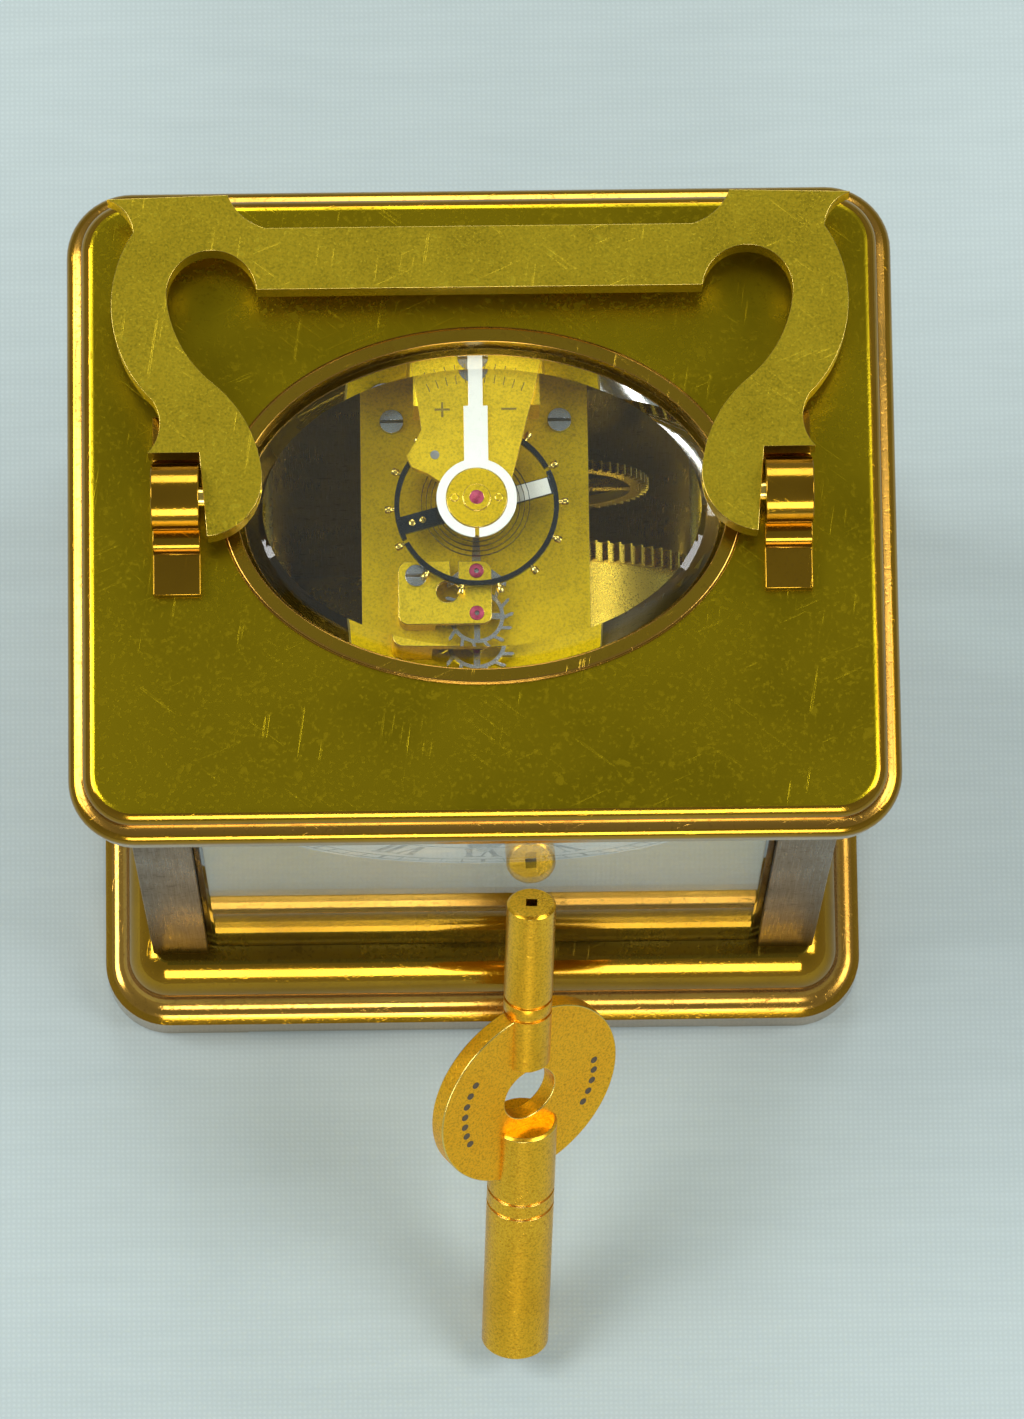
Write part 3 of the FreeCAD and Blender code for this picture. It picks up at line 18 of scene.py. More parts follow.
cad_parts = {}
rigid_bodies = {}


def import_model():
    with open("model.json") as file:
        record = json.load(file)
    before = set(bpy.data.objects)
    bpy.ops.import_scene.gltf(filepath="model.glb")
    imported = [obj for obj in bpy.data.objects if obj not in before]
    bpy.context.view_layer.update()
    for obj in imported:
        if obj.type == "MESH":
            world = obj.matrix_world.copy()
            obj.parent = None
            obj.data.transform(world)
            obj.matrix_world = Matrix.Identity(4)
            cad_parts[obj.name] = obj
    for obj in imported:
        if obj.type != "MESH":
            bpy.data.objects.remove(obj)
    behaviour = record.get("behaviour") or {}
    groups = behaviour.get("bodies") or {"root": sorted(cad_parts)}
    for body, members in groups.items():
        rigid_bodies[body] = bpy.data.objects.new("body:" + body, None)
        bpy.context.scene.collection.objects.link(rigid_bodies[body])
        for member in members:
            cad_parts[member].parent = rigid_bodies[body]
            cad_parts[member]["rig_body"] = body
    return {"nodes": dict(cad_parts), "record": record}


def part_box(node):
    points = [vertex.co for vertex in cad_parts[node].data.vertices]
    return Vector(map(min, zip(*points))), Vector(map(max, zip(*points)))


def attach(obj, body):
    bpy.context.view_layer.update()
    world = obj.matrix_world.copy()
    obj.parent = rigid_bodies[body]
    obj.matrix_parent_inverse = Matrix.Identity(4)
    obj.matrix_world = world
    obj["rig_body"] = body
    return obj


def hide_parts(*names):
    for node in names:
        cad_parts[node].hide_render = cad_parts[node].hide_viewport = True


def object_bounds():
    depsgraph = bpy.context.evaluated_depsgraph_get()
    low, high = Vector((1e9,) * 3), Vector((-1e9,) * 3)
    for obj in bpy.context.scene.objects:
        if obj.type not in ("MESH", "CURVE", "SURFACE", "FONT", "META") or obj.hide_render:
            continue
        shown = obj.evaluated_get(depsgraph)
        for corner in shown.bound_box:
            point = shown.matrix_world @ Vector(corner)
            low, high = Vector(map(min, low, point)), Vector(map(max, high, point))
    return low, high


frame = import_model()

CAD_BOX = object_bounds()
MM = 0.001
LEVEL = 0.95
log = logging.getLogger("carriage_clock")

Colour = tuple[float, float, float, float]
Point = tuple[float, float]


def tone(red: float, green: float, blue: float) -> Colour:
    """A linear colour with full cover."""
    return (red, green, blue, 1.0)


def feed(tree: bpy.types.NodeTree, socket: bpy.types.NodeSocket, value: object) -> None:
    """Links a socket to another node's output, or sets its value."""
    if isinstance(value, bpy.types.NodeSocket):
        tree.links.new(value, socket)
    else:
        socket.default_value = value


# ---------------------------------------------------------------- finishes


class Grain(Enum):
    """The direction in which a surface was brushed or turned."""

    NONE = (1.0, 1.0, 1.0)
    ALONG_Z = (1.0, 1.0, 0.02)


class Shade:
    """One material's node tree, with short calls for the nodes that the finishes share."""

    def __init__(self, name: str) -> None:
        """Starts an empty material.

        Args:
            name: The material's name.
        """
        self.material = bpy.data.materials.new(name)
        self.material.use_nodes = True
        self.tree = self.material.node_tree
        self.tree.nodes.clear()
        self.output = self.tree.nodes.new("ShaderNodeOutputMaterial")
        self.coords = self.tree.nodes.new("ShaderNodeTexCoord").outputs["Object"]

    def add(self, kind: str, **inputs: object) -> bpy.types.Node:
        """Adds a node.

        Args:
            kind: The node's type.
            inputs: Sockets by name, with a value or with another node's output.

        Returns:
            The new node.
        """
        node = self.tree.nodes.new(kind)
        for name, value in inputs.items():
            feed(self.tree, node.inputs[name.replace("_", " ")], value)
        return node

    def noise(self, size: float, detail: float = 2.0, stretch: Sequence[float] = (1, 1, 1),
              turn: float = 0.0) -> bpy.types.NodeSocket:
        """A cloud pattern on the piece's own coordinates.

        Args:
            size: The size of its patches, in metres.
            detail: How many finer layers it has.
            stretch: How much the pattern is drawn out along each axis, where less than 1 is longer.
            turn: Degrees by which it is turned about Z.

        Returns:
            The pattern, from 0 to 1.
        """
        longer = tuple(1.0 / share for share in stretch)
        mapping = self.add("ShaderNodeMapping", Vector=self.coords, Scale=longer,
                           Rotation=(0.0, 0.0, math.radians(turn)))
        mapping.vector_type = "TEXTURE"
        node = self.add("ShaderNodeTexNoise", Vector=mapping.outputs[0], Scale=1.0 / size, Detail=detail)
        return node.outputs[0]

    def between(self, value: bpy.types.NodeSocket, low: float, high: float, start: float = 0.0,
                end: float = 1.0) -> bpy.types.NodeSocket:
        """The value's stretch from low to high, drawn out to run from start to end."""
        node = self.add("ShaderNodeMapRange", Value=value)
        for name, number in zip(("From Min", "From Max", "To Min", "To Max"), (low, high, start, end)):
            node.inputs[name].default_value = number
        return node.outputs[0]

    def maths(self, operation: str, one: object, other: object) -> bpy.types.NodeSocket:
        """One arithmetic step on two values or sockets."""
        node = self.tree.nodes.new("ShaderNodeMath")
        node.operation = operation
        for socket, value in zip(node.inputs, (one, other)):
            feed(self.tree, socket, value)
        return node.outputs[0]

    def mix(self, share: bpy.types.NodeSocket, one: object, other: object) -> bpy.types.NodeSocket:
        """A colour between two, by share."""
        node = self.tree.nodes.new("ShaderNodeMix")
        node.data_type = "RGBA"
        for place, value in ((0, share), (6, one), (7, other)):
            feed(self.tree, node.inputs[place], value)
        return node.outputs[2]

    def relief(self, height: bpy.types.NodeSocket, depth: float, strength: float) -> bpy.types.NodeSocket:
        """A bump of the given depth, in metres."""
        return self.add("ShaderNodeBump", Height=height, Distance=depth, Strength=strength).outputs[0]

    def finish(self, shader: bpy.types.Node) -> bpy.types.Material:
        """Ends the tree in a shader."""
        self.tree.links.new(shader.outputs[0], self.output.inputs["Surface"])
        return self.material


class Finish:
    """Anything that can be made into a material of its name."""

    name: str

    def build(self) -> bpy.types.Material:
        """Makes the material.

        Returns:
            The finished material.
        """
        raise NotImplementedError


@dataclass(frozen=True)
class MetalFinish(Finish):
    """A metal with clouded patina, specks of tarnish, brushed grain and stray scratches.

    Sizes are in metres.
    """

    name: str
    bright: Colour
    dull: Colour
    stain: Colour
    smooth: float = 0.22
    rough: float = 0.36
    patch: float = 14 * MM
    speck: float = 0.5 * MM
    speck_share: float = 0.5
    scratches: float = 0.5
    grain: Grain = Grain.NONE
    grain_width: float = 0.12 * MM
    depth: float = 0.02 * MM
    frost: float = 0.0
    metallic: float = 1.0
    coat: float = 0.0

    COAT_ROUGHNESS = 0.08
    SCRATCH_TURNS = (24.0, -38.0, 81.0)
    SCRATCH_WIDTH = 0.35 * MM
    SCRATCH_STRETCH = (0.035, 1.0, 1.0)
    CRYSTAL = 0.24 * MM

    def scratch_lines(self, shade: Shade) -> bpy.types.NodeSocket:
        """Thin scratches that run three ways.

        Args:
            shade: The material being made.

        Returns:
            The scratches, from 0 to 1.
        """
        lines = None
        for turn in self.SCRATCH_TURNS:
            strands = shade.noise(self.SCRATCH_WIDTH, 1.0, self.SCRATCH_STRETCH, turn)
            gate = shade.between(shade.noise(6 * MM, 1.0, turn=turn), 0.52, 0.6)
            line = shade.maths("MULTIPLY", shade.between(strands, 0.665, 0.70), gate)
            lines = line if lines is None else shade.maths("MAXIMUM", lines, line)
        return shade.maths("MULTIPLY", lines, self.scratches)

    def build(self) -> bpy.types.Material:
        """Makes the material."""
        shade = Shade(self.name)
        patches = shade.between(shade.noise(self.patch, 5.0), 0.36, 0.64)
        specks = shade.between(shade.noise(self.speck, 3.0), 0.56, 0.70, 0.0, self.speck_share)
        spots = shade.between(shade.noise(self.speck * 3.2, 2.0), 0.66, 0.72, 0.0, self.speck_share)
        marks = shade.maths("MAXIMUM", specks, spots)
        colour = shade.mix(patches, self.bright, self.dull)
        colour = shade.mix(marks, colour, self.stain)
        roughness = shade.between(patches, 0.0, 1.0, self.smooth, self.rough)
        roughness = shade.maths("ADD", roughness, shade.maths("MULTIPLY", marks, 0.22))
        height = shade.maths("SUBTRACT", shade.maths("MULTIPLY", patches, 0.3), marks)
        if self.scratches:
            lines = self.scratch_lines(shade)
            colour = shade.mix(lines, colour, self.bright)
            height = shade.maths("SUBTRACT", height, shade.maths("MULTIPLY", lines, 1.6))
        if self.grain is not Grain.NONE:
            strands = shade.noise(self.grain_width, 2.0, self.grain.value)
            roughness = shade.maths("ADD", roughness, shade.between(strands, 0.3, 0.7, -0.05, 0.07))
            height = shade.maths("ADD", height, shade.maths("MULTIPLY", strands, 0.8))
        if self.frost:
            crystals = shade.noise(self.CRYSTAL, 3.0)
            colour = shade.mix(shade.between(crystals, 0.45, 0.7, 0.0, 0.6), colour, self.stain)
            height = shade.maths("ADD", height, shade.maths("MULTIPLY", crystals, self.frost))
        metal = shade.add("ShaderNodeBsdfPrincipled", Base_Color=colour, Metallic=self.metallic,
                          Roughness=roughness, Normal=shade.relief(height, self.depth, 0.55),
                          Coat_Weight=self.coat, Coat_Roughness=self.COAT_ROUGHNESS)
        return shade.finish(metal)


@dataclass(frozen=True)
class GlassFinish(Finish):
    """Clear ground glass that lets light fall on what is behind it."""

    name: str
    tint: Colour = tone(0.96, 0.985, 0.975)
    refraction: float = 1.5
    haze: float = 0.02

    def build(self) -> bpy.types.Material:
        """Makes the material."""
        shade = Shade(self.name)
        smears = shade.between(shade.noise(9 * MM, 4.0), 0.45, 0.75, 0.0, self.haze)
        glass = shade.add("ShaderNodeBsdfPrincipled", Base_Color=self.tint, IOR=self.refraction,
                          Roughness=smears, Transmission_Weight=1.0)
        clear = shade.add("ShaderNodeBsdfTransparent", Color=self.tint)
        path = shade.tree.nodes.new("ShaderNodeLightPath")
        passing = shade.maths("MAXIMUM", path.outputs["Is Shadow Ray"], path.outputs["Is Diffuse Ray"])
        both = shade.tree.nodes.new("ShaderNodeMixShader")
        for socket, source in zip(both.inputs, (passing, glass.outputs[0], clear.outputs[0])):
            shade.tree.links.new(source, socket)
        return shade.finish(both)


@dataclass(frozen=True)
class RubyFinish(Finish):
    """A polished synthetic ruby with a paler heart."""

    name: str
    deep: Colour = tone(0.34, 0.006, 0.05)
    pale: Colour = tone(0.80, 0.10, 0.22)

    def build(self) -> bpy.types.Material:
        """Makes the material."""
        shade = Shade(self.name)
        cloud = shade.between(shade.noise(0.7 * MM, 3.0), 0.35, 0.65)
        colour = shade.mix(cloud, self.deep, self.pale)
        roughness = shade.between(shade.noise(0.3 * MM, 2.0), 0.3, 0.7, 0.03, 0.12)
        stone = shade.add("ShaderNodeBsdfPrincipled", Base_Color=colour, Roughness=roughness, IOR=1.76,
                          Transmission_Weight=0.35, Coat_Weight=0.6)
        return shade.finish(stone)


@dataclass(frozen=True)
class EnamelFinish(Finish):
    """A glossy glaze with a slight ripple and fine flecks: fired enamel, ink, and the near-black painted
    shade of small recesses.
    """

    name: str
    glaze: Colour
    fleck: Colour
    gloss: float = 0.12

    def build(self) -> bpy.types.Material:
        """Makes the material."""
        shade = Shade(self.name)
        flecks = shade.between(shade.noise(0.4 * MM, 3.0), 0.62, 0.74, 0.0, 0.55)
        cloud = shade.between(shade.noise(8 * MM, 3.0), 0.35, 0.65, 0.0, 0.25)
        colour = shade.mix(shade.maths("MAXIMUM", flecks, cloud), self.glaze, self.fleck)
        roughness = shade.between(shade.noise(3 * MM, 2.0), 0.3, 0.7, self.gloss, self.gloss + 0.12)
        ripple = shade.relief(shade.noise(5 * MM, 2.0), 0.05 * MM, 0.4)
        glaze = shade.add("ShaderNodeBsdfPrincipled", Base_Color=colour, Roughness=roughness, Normal=ripple,
                          Coat_Weight=0.5)
        return shade.finish(glaze)


@dataclass(frozen=True)
class ClothFinish(Finish):
    """A pale woven cloth with a faint cross weave."""

    name: str
    light: Colour = tone(0.445, 0.525, 0.53)
    shaded: Colour = tone(0.365, 0.435, 0.44)
    thread: float = 0.55 * MM

    def build(self) -> bpy.types.Material:
        """Makes the material."""
        shade = Shade(self.name)
        weave = None
        for axis in ("X", "Y"):
            wave = shade.add("ShaderNodeTexWave", Vector=shade.coords, Scale=0.314 / self.thread,
                             Distortion=1.6, Detail=1.0)
            wave.bands_direction = axis
            value = wave.outputs["Fac"]
            weave = value if weave is None else shade.maths("MULTIPLY", weave, value)
        slubs = shade.noise(2.5 * MM, 3.0, (0.2, 1.0, 1.0))
        share = shade.maths("MULTIPLY", shade.maths("ADD", weave, slubs), 0.5)
        colour = shade.mix(share, self.shaded, self.light)
        bump = shade.relief(share, 0.08 * MM, 0.45)
        cloth = shade.add("ShaderNodeBsdfPrincipled", Base_Color=colour, Roughness=0.85, Normal=bump,
                          Sheen_Weight=0.15)
        return shade.finish(cloth)


PANEL_BRASS = MetalFinish(
    "panel_brass", tone(0.52, 0.375, 0.010), tone(0.27, 0.200, 0.005),
    tone(0.20, 0.150, 0.004), smooth=0.22, rough=0.32, patch=17 * MM, speck=0.42 * MM,
    speck_share=0.6, scratches=0.35)
CASE_BRASS = MetalFinish(
    "case_brass", tone(0.42, 0.225, 0.010), tone(0.31, 0.16, 0.006),
    tone(0.24, 0.13, 0.010), smooth=0.09, rough=0.17, speck=0.4 * MM, speck_share=0.3,
    scratches=0.3, coat=0.2)
BRUSHED_BRASS = MetalFinish(
    "brushed_brass", tone(0.78, 0.56, 0.030), tone(0.50, 0.37, 0.020),
    tone(0.27, 0.23, 0.015), smooth=0.26, rough=0.38, patch=7 * MM, speck=0.3 * MM,
    speck_share=0.55, scratches=0.4, frost=0.4)
# Brighter, coated brass. On the rounds of the softened copies it is a painted highlight along the edge; it is
# also the whole finish of small bright fittings and of the cock's engraved marks.
EDGE_BRASS = MetalFinish(
    "edge_brass", tone(0.86, 0.64, 0.16), tone(0.72, 0.52, 0.10),
    tone(0.42, 0.27, 0.05), smooth=0.12, rough=0.22, speck_share=0.3, scratches=0.0,
    coat=0.4)
COPPER_BRASS = MetalFinish(
    "copper_brass", tone(0.50, 0.28, 0.050), tone(0.36, 0.19, 0.030),
    tone(0.15, 0.07, 0.015), smooth=0.14, rough=0.26, speck_share=0.35)
# Much darker than the case brass: painted shade standing in for the dark reflections on the pillars.
PAINTED_SHADE_PILLAR_BRASS = MetalFinish(
    "painted_shade_pillar_brass", tone(0.17, 0.085, 0.010), tone(0.12, 0.060, 0.007),
    tone(0.09, 0.04, 0.008), smooth=0.24, rough=0.38, speck_share=0.4,
    grain=Grain.ALONG_Z)
BEZEL_BRASS = MetalFinish(
    "bezel_brass", tone(0.52, 0.33, 0.030), tone(0.38, 0.235, 0.018),
    tone(0.17, 0.10, 0.010), smooth=0.14, rough=0.26, speck_share=0.4)
# Dark brass for the base's level top, the floor inside the case: painted shade.
PAINTED_SHADE_FLOOR_BRASS = MetalFinish(
    "painted_shade_floor_brass", tone(0.20, 0.13, 0.012), tone(0.12, 0.075, 0.008),
    tone(0.05, 0.03, 0.004), smooth=0.20, rough=0.36, speck_share=0.5)
GILT = MetalFinish(
    "frosted_gilt", tone(0.84, 0.58, 0.008), tone(0.66, 0.45, 0.006),
    tone(0.42, 0.27, 0.005), smooth=0.34, rough=0.44, speck=0.3 * MM, speck_share=0.4,
    scratches=0.0, frost=1.4)
COCK_GILT = MetalFinish(
    "cock_gilt", tone(1.0, 0.72, 0.030), tone(0.92, 0.64, 0.020),
    tone(0.52, 0.34, 0.010), smooth=0.30, rough=0.40, speck=0.3 * MM, speck_share=0.35,
    scratches=0.0, frost=1.2)
# Darker than the case brass: painted shade for the plates and the lower cock inside the case.
PAINTED_SHADE_PLATE_BRASS = MetalFinish(
    "painted_shade_plate_brass", tone(0.34, 0.24, 0.025), tone(0.24, 0.165, 0.015),
    tone(0.11, 0.07, 0.008), smooth=0.26, rough=0.38, grain=Grain.ALONG_Z)
# Darkened brass for the wheels and the rest of the movement inside the case: painted shade.
PAINTED_SHADE_WHEEL_BRASS = MetalFinish(
    "painted_shade_wheel_brass", tone(0.44, 0.31, 0.036), tone(0.34, 0.23, 0.024),
    tone(0.24, 0.15, 0.02), smooth=0.22, rough=0.34, speck_share=0.3,
    grain=Grain.ALONG_Z, scratches=0.0)
KEY_BRASS = MetalFinish(
    "key_brass", tone(0.96, 0.54, 0.036), tone(0.82, 0.44, 0.022),
    tone(0.42, 0.20, 0.010), smooth=0.24, rough=0.36, speck=0.3 * MM, speck_share=0.4,
    scratches=0.6, frost=0.4)
BOW_BRASS = MetalFinish(
    "bow_brass", tone(1.0, 0.52, 0.024), tone(0.98, 0.48, 0.018),
    tone(0.50, 0.22, 0.012), smooth=0.30, rough=0.42, speck=0.3 * MM, speck_share=0.4,
    scratches=0.6, frost=0.5)
STEEL = MetalFinish(
    "turned_steel", tone(0.60, 0.60, 0.60), tone(0.48, 0.48, 0.49), tone(0.22, 0.20, 0.18),
    smooth=0.16, rough=0.28, patch=5 * MM, speck_share=0.25, scratches=0.3)
SCREW_STEEL = MetalFinish(
    "screw_steel", tone(0.62, 0.63, 0.65), tone(0.46, 0.47, 0.50),
    tone(0.25, 0.25, 0.27), smooth=0.14, rough=0.24, patch=1.6 * MM, speck=0.2 * MM,
    speck_share=0.12, scratches=0.0)
# Near-white and barely metallic: the polished steel's mirror shine painted into its colour as a sheen.
PAINTED_SHEEN_STEEL = MetalFinish(
    "polished_steel", tone(0.98, 0.98, 0.93), tone(0.92, 0.92, 0.87),
    tone(0.55, 0.55, 0.5), smooth=0.10, rough=0.20, patch=4 * MM, speck_share=0.12,
    scratches=0.2, metallic=0.12)
BLUED_STEEL = MetalFinish(
    "blued_steel", tone(0.075, 0.085, 0.10), tone(0.035, 0.04, 0.05),
    tone(0.02, 0.02, 0.02), smooth=0.14, rough=0.26, patch=3 * MM, speck_share=0.25,
    scratches=0.2)
GLASS = GlassFinish("ground_glass")
RUBY = RubyFinish("ruby")
ENAMEL = EnamelFinish("white_enamel", tone(0.86, 0.85, 0.80), tone(0.70, 0.67, 0.58))
INK = EnamelFinish("black_enamel", tone(0.012, 0.012, 0.014), tone(0.03, 0.028, 0.025), gloss=0.2)
# Near-black: painted shade in the screw slots and the key's punched dots.
RECESS_SHADE = EnamelFinish("painted_recess_shade", tone(0.05, 0.03, 0.006), tone(0.09, 0.06, 0.015), gloss=0.5)
CLOTH = ClothFinish("pale_cloth")

SLOT_FINISH = {
    "case_brass": CASE_BRASS,
    # The movement's brass is darkened: painted shade.
    "movement_brass": PAINTED_SHADE_WHEEL_BRASS,
    "glass": GLASS,
    "steel": STEEL,
    "polished_steel": PAINTED_SHEEN_STEEL,
    "blued_steel": BLUED_STEEL,
    "ruby": RUBY,
    "enamel": ENAMEL,
    "key_brass": KEY_BRASS,
}
OWN_FINISH = {
    # The plates and the lower cock take the darker brass of painted shade.
    "front_plate": PAINTED_SHADE_PLATE_BRASS,
    "back_plate": PAINTED_SHADE_PLATE_BRASS,
    "lower_cock": PAINTED_SHADE_PLATE_BRASS,
    "plate_pillars": PAINTED_SHADE_WHEEL_BRASS,
    "dial_mask": GILT,
    "door_knob": EDGE_BRASS,
    "handle_pins": EDGE_BRASS,
    "base_plate": COPPER_BRASS,
}
_made: dict[str, bpy.types.Material] = {}


def material(finish: Finish) -> bpy.types.Material:
    """The material of a finish, made once.

    Args:
        finish: Any of the finishes above.

    Returns:
        Its material.
    """
    if finish.name not in _made:
        _made[finish.name] = finish.build()
    return _made[finish.name]


# ---------------------------------------------------------------- placing and making


def middle(node: str) -> Vector:
    """The middle of a part's box."""
    low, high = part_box(node)
    return (low + high) / 2


def new_object(name: str, mesh: bpy.types.Mesh) -> bpy.types.Object:
    """An object of that name on a mesh, in the scene."""
    made = bpy.data.objects.new(name, mesh)
    bpy.context.scene.collection.objects.link(made)
    return made


def from_bmesh(name: str, shape: bmesh.types.BMesh, place: Matrix = Matrix.Identity(4)) -> bpy.types.Object:
    """Ends a bmesh as an object whose place is in its mesh.

    Args:
        name: The piece's name.
        shape: The geometry, which is freed.
        place: Where it goes.

    Returns:
        The object.
    """
    bmesh.ops.remove_doubles(shape, verts=shape.verts, dist=0.0005 * MM)
    bmesh.ops.recalc_face_normals(shape, faces=shape.faces)
    mesh = bpy.data.meshes.new(name)
    shape.to_mesh(mesh)
    shape.free()
    mesh.transform(place)
    return new_object(name, mesh)


def dress(piece: bpy.types.Object, body: str, slot: str, *finishes: Finish) -> bpy.types.Object:
    """Gives a piece its finishes and its body.

    Args:
        piece: The piece.
        body: The body that it rides on.
        slot: The record's material slot; not used.
        finishes: One finish for each material index.

    Returns:
        The piece.
    """
    indices = [face.material_index for face in piece.data.polygons]
    piece.data.materials.clear()
    for finish in finishes:
        piece.data.materials.append(material(finish))
    piece.data.polygons.foreach_set("material_index", [min(k, len(finishes) - 1) for k in indices])
    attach(piece, body)
    log.info("%s: %d faces on %s", piece.name, len(piece.data.polygons), body)
    return piece


def evaluated(piece: bpy.types.Object) -> bpy.types.Mesh:
    """Replaces a piece's mesh by the result of its modifiers, and removes them.

    Args:
        piece: The piece.

    Returns:
        Its new mesh.
    """
    bpy.context.view_layer.update()
    ready = piece.evaluated_get(bpy.context.evaluated_depsgraph_get())
    mesh = bpy.data.meshes.new_from_object(ready)
    piece.modifiers.clear()
    piece.data = mesh
    return mesh


def smooth(mesh: bpy.types.Mesh, degrees: float) -> None:
    """Shades a mesh smooth, apart from its edges sharper than the angle."""
    for face in mesh.polygons:
        face.use_smooth = True
    mesh.set_sharp_from_angle(angle=math.radians(degrees))


def lathe(profile: Sequence[Point], steps: int = 24) -> bmesh.types.BMesh:
    """A solid turned about Z.

    Args:
        profile: Radius and height pairs from the axis at the bottom to the axis at the top.
        steps: How many faces go round.

    Returns:
        The closed solid.
    """
    shape = bmesh.new()
    verts = [shape.verts.new((radius, 0.0, height)) for radius, height in profile]
    edges = [shape.edges.new(pair) for pair in zip(verts, verts[1:])]
    bmesh.ops.spin(shape, geom=verts + edges, cent=(0, 0, 0), axis=(0, 0, 1), angle=2 * math.pi,
                   steps=steps, use_duplicate=False)
    bmesh.ops.remove_doubles(shape, verts=shape.verts, dist=0.0005 * MM)
    bmesh.ops.dissolve_degenerate(shape, edges=shape.edges, dist=0.0002 * MM)
    return shape


def slab(outlines: Sequence[Sequence[Point]], low: float, high: float) -> bmesh.types.BMesh:
    """Flat plates of the given outlines, from one height to another.

    Args:
        outlines: Closed outlines, which may be concave, anticlockwise.
        low: The lower height.
        high: The upper height.

    Returns:
        The closed solids.
    """
    shape = bmesh.new()
    for outline in outlines:
        rings = [[shape.verts.new((x, y, z)) for x, y in outline] for z in (low, high)]
        shape.faces.new(rings[0][::-1])
        shape.faces.new(rings[1])
        for k in range(len(outline)):
            after = (k + 1) % len(outline)
            shape.faces.new((rings[0][k], rings[0][after], rings[1][after], rings[1][k]))
    return shape


class Recipe:
    """A geometry node tree with named inputs, run on an empty piece and kept as its plain mesh."""

    INPUTS: tuple[tuple[str, str], ...] = ()

    def __init__(self, name: str) -> None:
        """Builds the tree.

        Args:
            name: The tree's name.
        """
        self.tree = bpy.data.node_groups.new(name, "GeometryNodeTree")
        face = self.tree.interface
        face.new_socket("Geometry", in_out="INPUT", socket_type="NodeSocketGeometry")
        self.ids = {}
        for label, kind in self.INPUTS:
            self.ids[label] = face.new_socket(label, in_out="INPUT", socket_type=kind).identifier
        face.new_socket("Geometry", in_out="OUTPUT", socket_type="NodeSocketGeometry")
        self.source, self.sink = self.add("NodeGroupInput"), self.add("NodeGroupOutput")
        self.wire()

    def wire(self) -> None:
        """Joins the tree's nodes."""
        raise NotImplementedError

    def add(self, kind: str, **settings: object) -> bpy.types.Node:
        """A node with some of its properties set."""
        node = self.tree.nodes.new(kind)
        for name, value in settings.items():
            setattr(node, name, value)
        return node

    def end(self, geometry: bpy.types.NodeSocket) -> None:
        """Makes the geometry real, gives it its finish and ends the tree."""
        link = self.tree.links.new
        real, coat = self.add("GeometryNodeRealizeInstances"), self.add("GeometryNodeSetMaterial")
        link(geometry, real.inputs[0])
        link(real.outputs[0], coat.inputs["Geometry"])
        link(self.source.outputs["Finish"], coat.inputs["Material"])
        link(coat.outputs[0], self.sink.inputs[0])

    def bake(self, name: str, place: Matrix, values: dict[str, object]) -> bpy.types.Object:
        """Runs the tree and keeps the result as a plain mesh.

        Args:
            name: The piece's name.
            place: Where the result goes.
            values: The values of the tree's inputs by name.

        Returns:
            The piece, with no modifier on it.
        """
        carrier = new_object(name, bpy.data.meshes.new(name))
        modifier = carrier.modifiers.new("recipe", "NODES")
        modifier.node_group = self.tree
        for label, value in values.items():
            modifier[self.ids[label]] = value
        mesh = evaluated(carrier)
        mesh.transform(place)
        mesh.name = name
        return carrier


class ArcSpread(Recipe):
    """Sets copies of one small piece round an arc, each turned to face outwards."""

    INPUTS = (("Count", "NodeSocketInt"), ("Radius", "NodeSocketFloat"), ("Start", "NodeSocketFloat"),
              ("Step", "NodeSocketFloat"), ("Piece", "NodeSocketObject"), ("Finish", "NodeSocketMaterial"))

    def wire(self) -> None:
        """Joins the tree's nodes."""
        link, source = self.tree.links.new, self.source
        points, index = self.add("GeometryNodePoints"), self.add("GeometryNodeInputIndex")
        angle = self.add("ShaderNodeMath", operation="MULTIPLY_ADD")
        link(index.outputs[0], angle.inputs[0])
        link(source.outputs["Step"], angle.inputs[1])
        link(source.outputs["Start"], angle.inputs[2])
        place, turn = self.add("ShaderNodeCombineXYZ"), self.add("ShaderNodeCombineXYZ")
        for operation, socket in (("COSINE", place.inputs[0]), ("SINE", place.inputs[1])):
            wave = self.add("ShaderNodeMath", operation=operation)
            reach = self.add("ShaderNodeMath", operation="MULTIPLY")
            link(angle.outputs[0], wave.inputs[0])
            link(wave.outputs[0], reach.inputs[0])
            link(source.outputs["Radius"], reach.inputs[1])
            link(reach.outputs[0], socket)
        link(angle.outputs[0], turn.inputs[2])
        rotation = self.add("FunctionNodeEulerToRotation")
        link(turn.outputs[0], rotation.inputs[0])
        link(source.outputs["Count"], points.inputs["Count"])
        link(place.outputs[0], points.inputs["Position"])
        piece = self.add("GeometryNodeObjectInfo")
        link(source.outputs["Piece"], piece.inputs["Object"])
        spread = self.add("GeometryNodeInstanceOnPoints")
        link(points.outputs[0], spread.inputs["Points"])
        link(piece.outputs["Geometry"], spread.inputs["Instance"])
        link(rotation.outputs[0], spread.inputs["Rotation"])
        self.end(spread.outputs[0])

    def make(self, name: str, shape: bmesh.types.BMesh, finish: Finish, count: int, radius: float,
             start: float, step: float, place: Matrix) -> bpy.types.Object:
        """Spreads copies of a shape and ends them as one plain mesh.

        Args:
            name: The piece's name.
            shape: The shape to copy, freed here.
            finish: Its finish.
            count: How many copies.
            radius: The arc's radius.
            start: The first copy's angle in degrees.
            step: The angle from one copy to the next in degrees.
            place: Where the arc goes.

        Returns:
            The object.
        """
        pattern = from_bmesh(name + "_pattern", shape)
        piece = self.bake(name, place, {
            "Count": count, "Radius": radius, "Start": math.radians(start), "Step": math.radians(step),
            "Piece": pattern, "Finish": material(finish)})
        bpy.data.objects.remove(pattern)
        return piece


